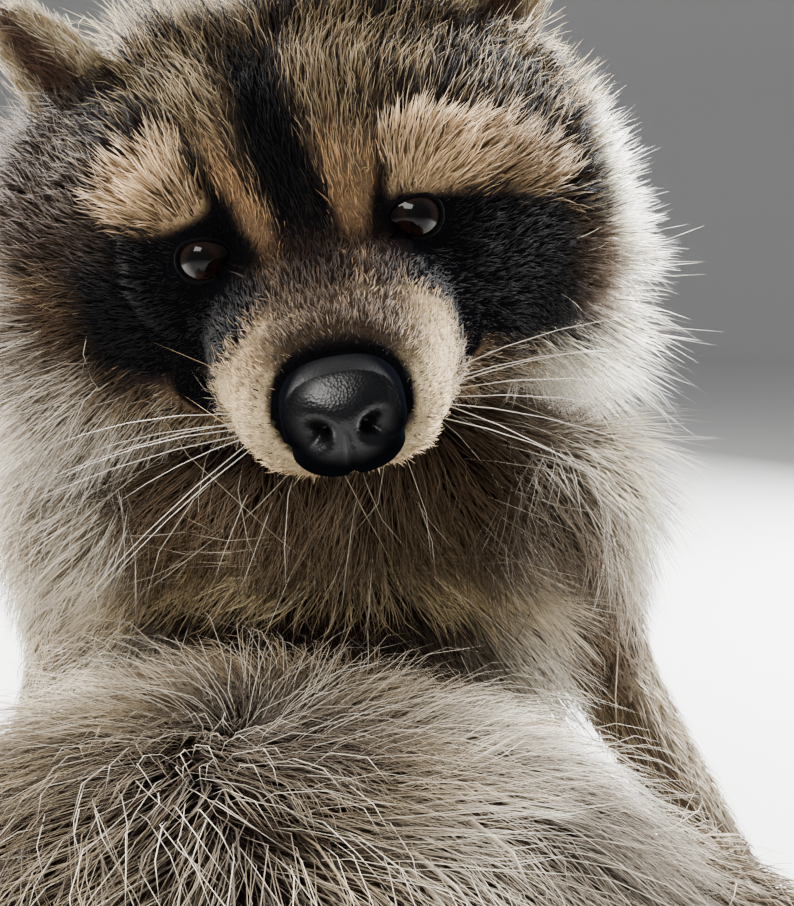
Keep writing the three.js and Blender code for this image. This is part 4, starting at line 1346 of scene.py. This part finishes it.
# %% Coat
FACE_HAIR = dict(lock=5, rings=2, guard=0.3, clump=0.45, droop=0.03, hug=0.12, ragged=0.16, swirl=0.1)
face = k["head"] * step(48, 40, y_head)
behind = k["head"] * step(40, 48, y_head)
left_half = step(-0.5, 0.5, x_head)
upper = step(-6, 6, z_head)
fine = 1 + 1.6 * shapes["muzzle"] + 0.5 * (shapes["brow"] + shapes["mask"])
low_cheek = k["head"] * step(12, 30, y_head) * step(95, 70, y_head) * step(34, 48, out_head) \
    * step(2, -14, z_head)
crown = behind * upper + 0.5 * face * step(24, 40, y_head) * upper
cheeks = behind * (1 - upper) + 0.8 * face * step(50, 62, out_head) * (1 - upper)
cheeks = cheeks + 0.6 * face * shapes["under"] * step(26, 40, out_head)
near_view = step(0, 90, z_skin) * step(60, -20, y_skin)
belly_front = k["belly"] * (0.12 + near_view)
trunk_back = k["back"] - chest_front
ruff = 0.8 * side_neck * (1 - 0.75 * arm) + k["foreleg"] * step(0.25, 0.1, skin_share) + 2.2 * low_cheek
stray = 0.4 * chest_front * step(-5, 5, above_ridge) + 0.7 * side_neck
stray = stray + 0.7 * low_cheek * step(48, 58, out_head) + 1.3 * k["belly"] * near_view
under = trunk_back + k["hindleg"] + 0.8 * k["tail"] + 0.8 * k["foreleg"] + 0.6 * k["belly"] * (1 - near_view)
hair_total = sum([
    coat("coat_face_left", "face_coat", face * left_half * fine, 16500, 0.46, seed=11, **FACE_HAIR),
    coat("coat_face_right", "face_coat", face * (1 - left_half) * fine, 16500, 0.46, seed=12, **FACE_HAIR),
    coat("coat_crown", "face_coat", crown, 12500, 0.6, rings=2, swirl=0.2, ragged=0.26, seed=13),
    coat("coat_cheeks", "face_coat", cheeks, 6500, 0.45, ragged=0.3, swirl=0.2, seed=14),
    coat("coat_ruff", "coat", ruff, 7500, 0.42, droop=0.25, ragged=0.34, swirl=0.3, clump=0.6, guard=0.6,
         seed=24),
    coat("coat_chest", "coat", chest_front, 8000, 0.55, droop=0.25, ragged=0.34, swirl=0.35, clump=0.75,
         guard=0.3, lock=14, wavy=0.9, seed=15),
    coat("coat_stray", "coat", stray, 2100, 0.52, droop=0.15, ragged=0.45, swirl=0.4, clump=0.2, guard=1,
         steeper=10, stretch=1.1, paler=0.7, lock=2, wavy=1.0, seed=26),
    coat("coat_belly_under", "belly_coat", belly_front, 10000, 0.66, rings=2, stretch=0.62, ragged=0.4,
         swirl=0.4, clump=0.7, guard=0, lock=12, paler=-0.4, seed=25),
    coat("coat_belly", "belly_coat", belly_front, 11900, 0.62, ragged=0.45, swirl=0.5, clump=0.8, guard=0.8,
         lock=17, droop=0.1, wavy=1.0, paler=0.08, seed=16),
    coat("coat_belly_low", "belly_coat", k["belly"] * (1.1 - near_view), 2400, 1.4, seed=17),
    coat("coat_under", "coat", under, 8200, 1.9, rings=2, lock=3, stretch=0.55, guard=0, clump=0.2,
         paler=-0.35, ragged=0.3, seed=27),
    coat("coat_back", "coat", trunk_back * (1 - 0.6 * side_neck), 6500, 1.1, rings=2, swirl=0.15, ragged=0.25,
         seed=18),
    coat("coat_forelegs", "coat", k["foreleg"] * (1 + 0.3 * step(0.35, 0, skin_share)), 7000, 0.6, rings=2,
         hug=0.2, ragged=0.22, seed=19),
    coat("coat_hindlegs", "coat", k["hindleg"], 5500, 1.0, rings=2, swirl=0.15, ragged=0.25, seed=20),
    coat("coat_tail", "tail_coat", k["tail"], 5000, 1.1, rings=2, ragged=0.25, seed=21),
    coat("coat_paws", "paw", k["paw"], 4000, 0.5, rings=2, lock=4, hug=0.1, seed=22),
    coat("coat_ears", "ear", k["ear"], 2600, 0.45, rings=2, lock=4, hug=0.05, droop=0, ragged=0.35, seed=23),
])
print("coat:", hair_total, "triangles")

# %% [markdown]
# Eyes. The ball bulges a little more at its clear front, where the dark brown iris and the pupil lie,
# and a thin matt black rim of lid runs round the opening, following the ball.

# %% Eyes
PUPIL_EDGE, IRIS_EDGE, CORNEA_EDGE = 17, 32, 36
CORNEA_BULGE = 0.8
eye_material, eye_tree, eye_shader = material("eye", 0.03, 0.16)
eye_tree.links.new(varied(eye_tree, kept_colour(eye_tree).outputs["Color"], noise(eye_tree, 1800), 0.7, 1.35),
                   eye_shader.inputs["Base Color"])
rim_material, rim_tree, rim_shader = material("lid rim", 0.7, 0.03)
rim_shader.inputs["Base Color"].default_value = (*COAT["black"] * 0.8, 1)
bumped(rim_tree, rim_shader, noise(rim_tree, 2500), 0.0003)


def round_gaze(name, theta, phi, radius):
    """Points about an eye's centre, theta away from its gaze and phi round it."""
    ahead, outward, rise = eye_axes(SIDES[name])
    around = np.cos(phi)[..., None] * outward + np.sin(phi)[..., None] * rise
    way = np.cos(theta)[..., None] * ahead + np.sin(theta)[..., None] * around
    return EYES[name] + radius[..., None] * way


def add_eye(name):
    """A ball that bulges at the cornea, and a thin ring of lid that follows its opening."""
    circle = lambda count: np.linspace(0, 2 * np.pi, count, endpoint=False)
    theta, phi = np.meshgrid(np.linspace(0, np.pi, 49), circle(64), indexing="ij")
    bulge = CORNEA_BULGE * step(np.radians(CORNEA_EDGE), np.radians(8), theta)
    points, faces = closed_surface(round_gaze(name, theta, phi, EYE_RADIUS - 0.15 + bulge))
    eye = mesh_object("eyeball_" + name, from_head(points) * MM, facing_out(points, faces))
    t = np.concatenate([[0], theta[1:-1].ravel(), [np.pi]])
    iris = step(np.radians(IRIS_EDGE + 3), np.radians(IRIS_EDGE), t) \
        * step(np.radians(PUPIL_EDGE), np.radians(PUPIL_EDGE + 3), t)
    keep_colour(eye.data, mix(np.tile(paint("060505"), (len(t), 1)), paint("150c08"), iris))
    finish_piece(eye, eye_material, "eye", "eye_" + name)
    p, r = np.meshgrid(circle(80), circle(12), indexing="ij")
    ring = round_gaze(name, opening(p) + 0.04 + 0.06 * np.cos(r), p, EYE_RADIUS + 0.15 + 0.45 * np.sin(r))
    quads = tube_faces(len(ring) + 1, 12) % (len(ring) * 12)
    points = ring.reshape(-1, 3)
    rim = mesh_object("lid_rim_" + name, from_head(points) * MM, facing_out(points, [quads]))
    finish_piece(rim, rim_material, "eye")


for name in SIDES:
    add_eye(name)
print("eyes are", 2 * EYE_RADIUS, "mm across")

# %% [markdown]
# The nose pad is bare and finely pebbled, damp in the middle and dull round its edge: a rounded block
# with its broad side up. Two comma-shaped nostrils and the groove below them are pressed into it.

# %% Nose
NOSE_STATIONS = [(0, -66, -21.5, 8.5, 7, 7.5, 0), (0, -61, -22, 11, 9, 10, 0),
                 (0, -54, -21.5, 11.5, 9.5, 9.5, 0), (0, -46, -20, 9, 8, 6.5, 0)]


def nose_material():
    """Near black and pebbled. The attribute runs from 0 at the dull rim to 1 where the pad is damp."""
    made, tree, shader = material("nose", 0.33, 0.3)
    damp = kept_colour(tree).outputs["Fac"]
    for socket, dull, glossy in (("Roughness", 0.62, 0.27), ("Specular IOR Level", 0.0, 0.28)):
        span = node(tree, "ShaderNodeMapRange")
        span.inputs["To Min"].default_value, span.inputs["To Max"].default_value = dull, glossy
        tree.links.new(damp, span.inputs["Value"])
        tree.links.new(span.outputs[0], shader.inputs[socket])
    shader.inputs["Base Color"].default_value = (0.0015, 0.0017, 0.0025, 1)
    pebbles = node(tree, "ShaderNodeTexVoronoi", Scale=1900.0)
    place = node(tree, "ShaderNodeTexCoord")
    tree.links.new(place.outputs["Object"], pebbles.inputs["Vector"])
    bumped(tree, shader, pebbles.outputs["Distance"], 0.00012, 0.4)
    return made


def add_nose():
    """The pad as a drawn-out sphere, less soft dents at the nostrils, their side slits and the groove."""
    pad = Part("nose", NOSE_STATIONS, UP, (5, 6), 2.6)
    points, faces = closed_surface(pad.grid(84, 96))
    x, y, z = points.T
    out = np.abs(x)
    hole = np.exp(-((out - 5.4) / 2.3) ** 2 - ((z + 22.8) / 2.1) ** 2) * step(-57, -64, y)
    slit = np.exp(-((z + 24.2 + 0.25 * (out - 5)) / 1.2) ** 2) * step(5, 7, out) * step(-52, -60, y)
    groove = np.exp(-(x / 0.8) ** 2) * step(-20, -25, z) * step(-56, -62, y)
    centre = np.array([0, -54, -21.5])
    points = points + unit(centre - points) * (4.4 * hole + 0.9 * slit + 0.8 * groove)[:, None]
    nose = mesh_object("nose_pad", from_head(points) * MM, facing_out(points, faces))
    x, y, z = points.T
    gloss = step(1.05, 0.6, np.hypot(x / 10, (z + 20) / 9)) * step(-52, -60, y)
    keep_colour(nose.data, np.repeat(gloss[:, None], 3, 1))
    finish_piece(nose, nose_material(), "nose", "nose")
    print("nose pad:", len(points), "points")


add_nose()

# %% [markdown]
# The small things: the whiskers that spring from rows of spots on the muzzle, and the claws. Each
# whisker is a blade like the hair, only longer, and bends down a little under its own weight. A claw is
# a short curved part like any other.

# %% Whiskers and claws
WHISKERS, WHISKERS_IN_ROW, WHISKER_PLACES = 16, 3, 5


def add_whiskers():
    """Paths of five places from the pads: outward and back by a random amount, sinking with the square of
    the distance run."""
    dice = np.random.default_rng(31)
    side = np.repeat([1, -1], WHISKERS // 2)
    turn = np.tile(np.arange(WHISKERS // 2), 2)
    row, place = turn // WHISKERS_IN_ROW, turn % WHISKERS_IN_ROW
    start = np.stack([side * 24.0, SPOT_AT[0] + SPOT_APART * (1 + place), SPOT_AT[1] - SPOT_ROWS * row], -1)
    root = skin[((q[None] - start[:, None]) ** 2).sum(2).argmin(1)]
    back = 0.1 + 0.22 * place + dice.normal(0, 0.12, WHISKERS)
    upward = 0.12 - 0.3 * row + dice.normal(0, 0.12, WHISKERS)
    way = unit(np.stack([side * 1.0, back, upward], -1)) @ HEAD_TURN.T
    long = (30 + 13 * place + dice.uniform(0, 16, WHISKERS))[:, None, None]
    run = np.linspace(0, 1, WHISKER_PLACES)[None, :, None]
    path = root[:, None] + way[:, None] * run * long + np.array([0, 0.1, -0.16]) * run**2 * long
    points, faces = blades(path, np.full(WHISKERS, 0.19), np.tile([0, 0, 1.0], (WHISKERS, 1)), thick=0.8)
    whiskers = mesh_object("whiskers", points * MM, faces)
    made, tree, shader = material("whisker", 0.35, 0.4)
    shader.inputs["Base Color"].default_value = (*paint("c8bfb0"), 1)
    bumped(tree, shader, noise(tree, 3000), 0.0001)
    finish_piece(whiskers, made, "face_coat")


def claw_part(knuckle, tip, thick, claw, rise):
    """A short part from a finger's end: over the tip, then down to the point."""
    ahead = unit(np.array(tip) - knuckle)
    root = tip - ahead * thick * 1.1 + rise * thick * 0.2
    end = tip + ahead * (claw - thick) - rise * thick * 0.35
    middle = between(root, end, 0.55) + rise * thick * 0.3
    return Part("claw", [(*root, 1.5, 1.5, 1.5, 0), (*middle, 1.5, 1.7, 1.6, 0), (*end, 0.5, 0.5, 0.5, 0)],
                rise, (1, 0.8))


def add_claws():
    """All claws in one mesh, each kept clear of the floor."""
    points, faces, first = [], [], 0
    for line in claw_lines:
        p, f = closed_surface(claw_part(*line).grid(16, 14))
        p[:, 2] = np.maximum(p[:, 2], 0.3)
        points.append(p)
        faces += [corners + first for corners in facing_out(p, f)]
        first += len(p)
    claws = mesh_object("claws", np.concatenate(points) * MM, faces)
    made, tree, shader = material("claw", 0.35, 0.45)
    base = node(tree, "ShaderNodeRGB")
    base.outputs[0].default_value = (*paint("4a3c33"), 1)
    tree.links.new(varied(tree, base.outputs[0], noise(tree, 500), 0.5, 1.4), shader.inputs["Base Color"])
    bumped(tree, shader, noise(tree, 900), 0.0002)
    finish_piece(claws, made, "claw")


add_whiskers()
add_claws()
print("whiskers:", WHISKERS, "claws:", len(claw_lines))

# %% [markdown]
# The floor is a pale sheet that curves up behind into a plain backdrop. A large soft lamp stands in
# front and above, and two more behind on either side light the tips of the coat.

# %% Floor, backdrop and light
LIT_PLACE = (0.0, 0.0, 0.25)


def add_stage():
    """A profile turned round the upright axis, in metres: flat floor, then a quarter circle, then an
    upright wall."""
    turn = np.linspace(0, np.pi / 2, 24)
    flat, bend, high, around = 5.0, 1.5, 2.8, 96
    profile = np.concatenate([np.stack([np.geomspace(0.2, flat, 8), np.zeros(8)], -1),
                              np.stack([flat + bend * np.sin(turn), bend * (1 - np.cos(turn))], -1)[1:],
                              [[flat + bend, high]]])
    phi = np.linspace(0, 2 * np.pi, around, endpoint=False)
    ring = lambda r: np.stack([r[0] * np.cos(phi), r[0] * np.sin(phi), np.full(around, r[1])], -1)
    points = np.concatenate([ring(r) for r in profile] + [[[0, 0, 0]]])
    i = np.arange(around)
    fan = np.stack([np.full(around, len(points) - 1), i, (i + 1) % around], -1)
    sheet = mesh_object("backdrop", points, [tube_faces(len(profile), around)[:, ::-1], fan])
    made, tree, shader = material("backdrop", 0.9, 0.2)
    shader.inputs["Base Color"].default_value = (0.55, 0.545, 0.54, 1)
    sheet.data.materials.append(made)


def lamp(name, place, size, power, colour=(1, 1, 1)):
    """A soft lamp of size by size metres and so many watts, turned towards the middle of the animal."""
    light = bpy.data.lights.new(name, "AREA")
    light.shape = "RECTANGLE"
    light.size, light.size_y = size
    light.energy, light.color = power, colour
    made = bpy.data.objects.new(name, light)
    made.location = place
    aim = unit(np.array(LIT_PLACE) - place)
    side = unit(np.cross(aim, [0, 0, 1]))
    lift = np.cross(side, aim)
    made.matrix_world = Matrix([[side[k], lift[k], -aim[k], place[k]] for k in range(3)] + [[0, 0, 0, 1]])
    bpy.context.collection.objects.link(made)


add_stage()
lamp("key", (-0.5, -0.8, 1.1), (0.7, 0.5), 22, (1, 0.97, 0.93))
lamp("rim_left", (0.9, 0.7, 0.75), (0.5, 0.8), 165)
lamp("rim_right", (-0.9, 0.6, 0.6), (0.5, 0.8), 108, (1, 0.98, 0.94))
world = bpy.data.worlds.new("studio")
world.use_nodes = True
world.node_tree.nodes["Background"].inputs["Color"].default_value = (0.95, 0.97, 1.0, 1)
world.node_tree.nodes["Background"].inputs["Strength"].default_value = 0.42
bpy.context.scene.world = world
print("lamps:", len(bpy.data.lights))
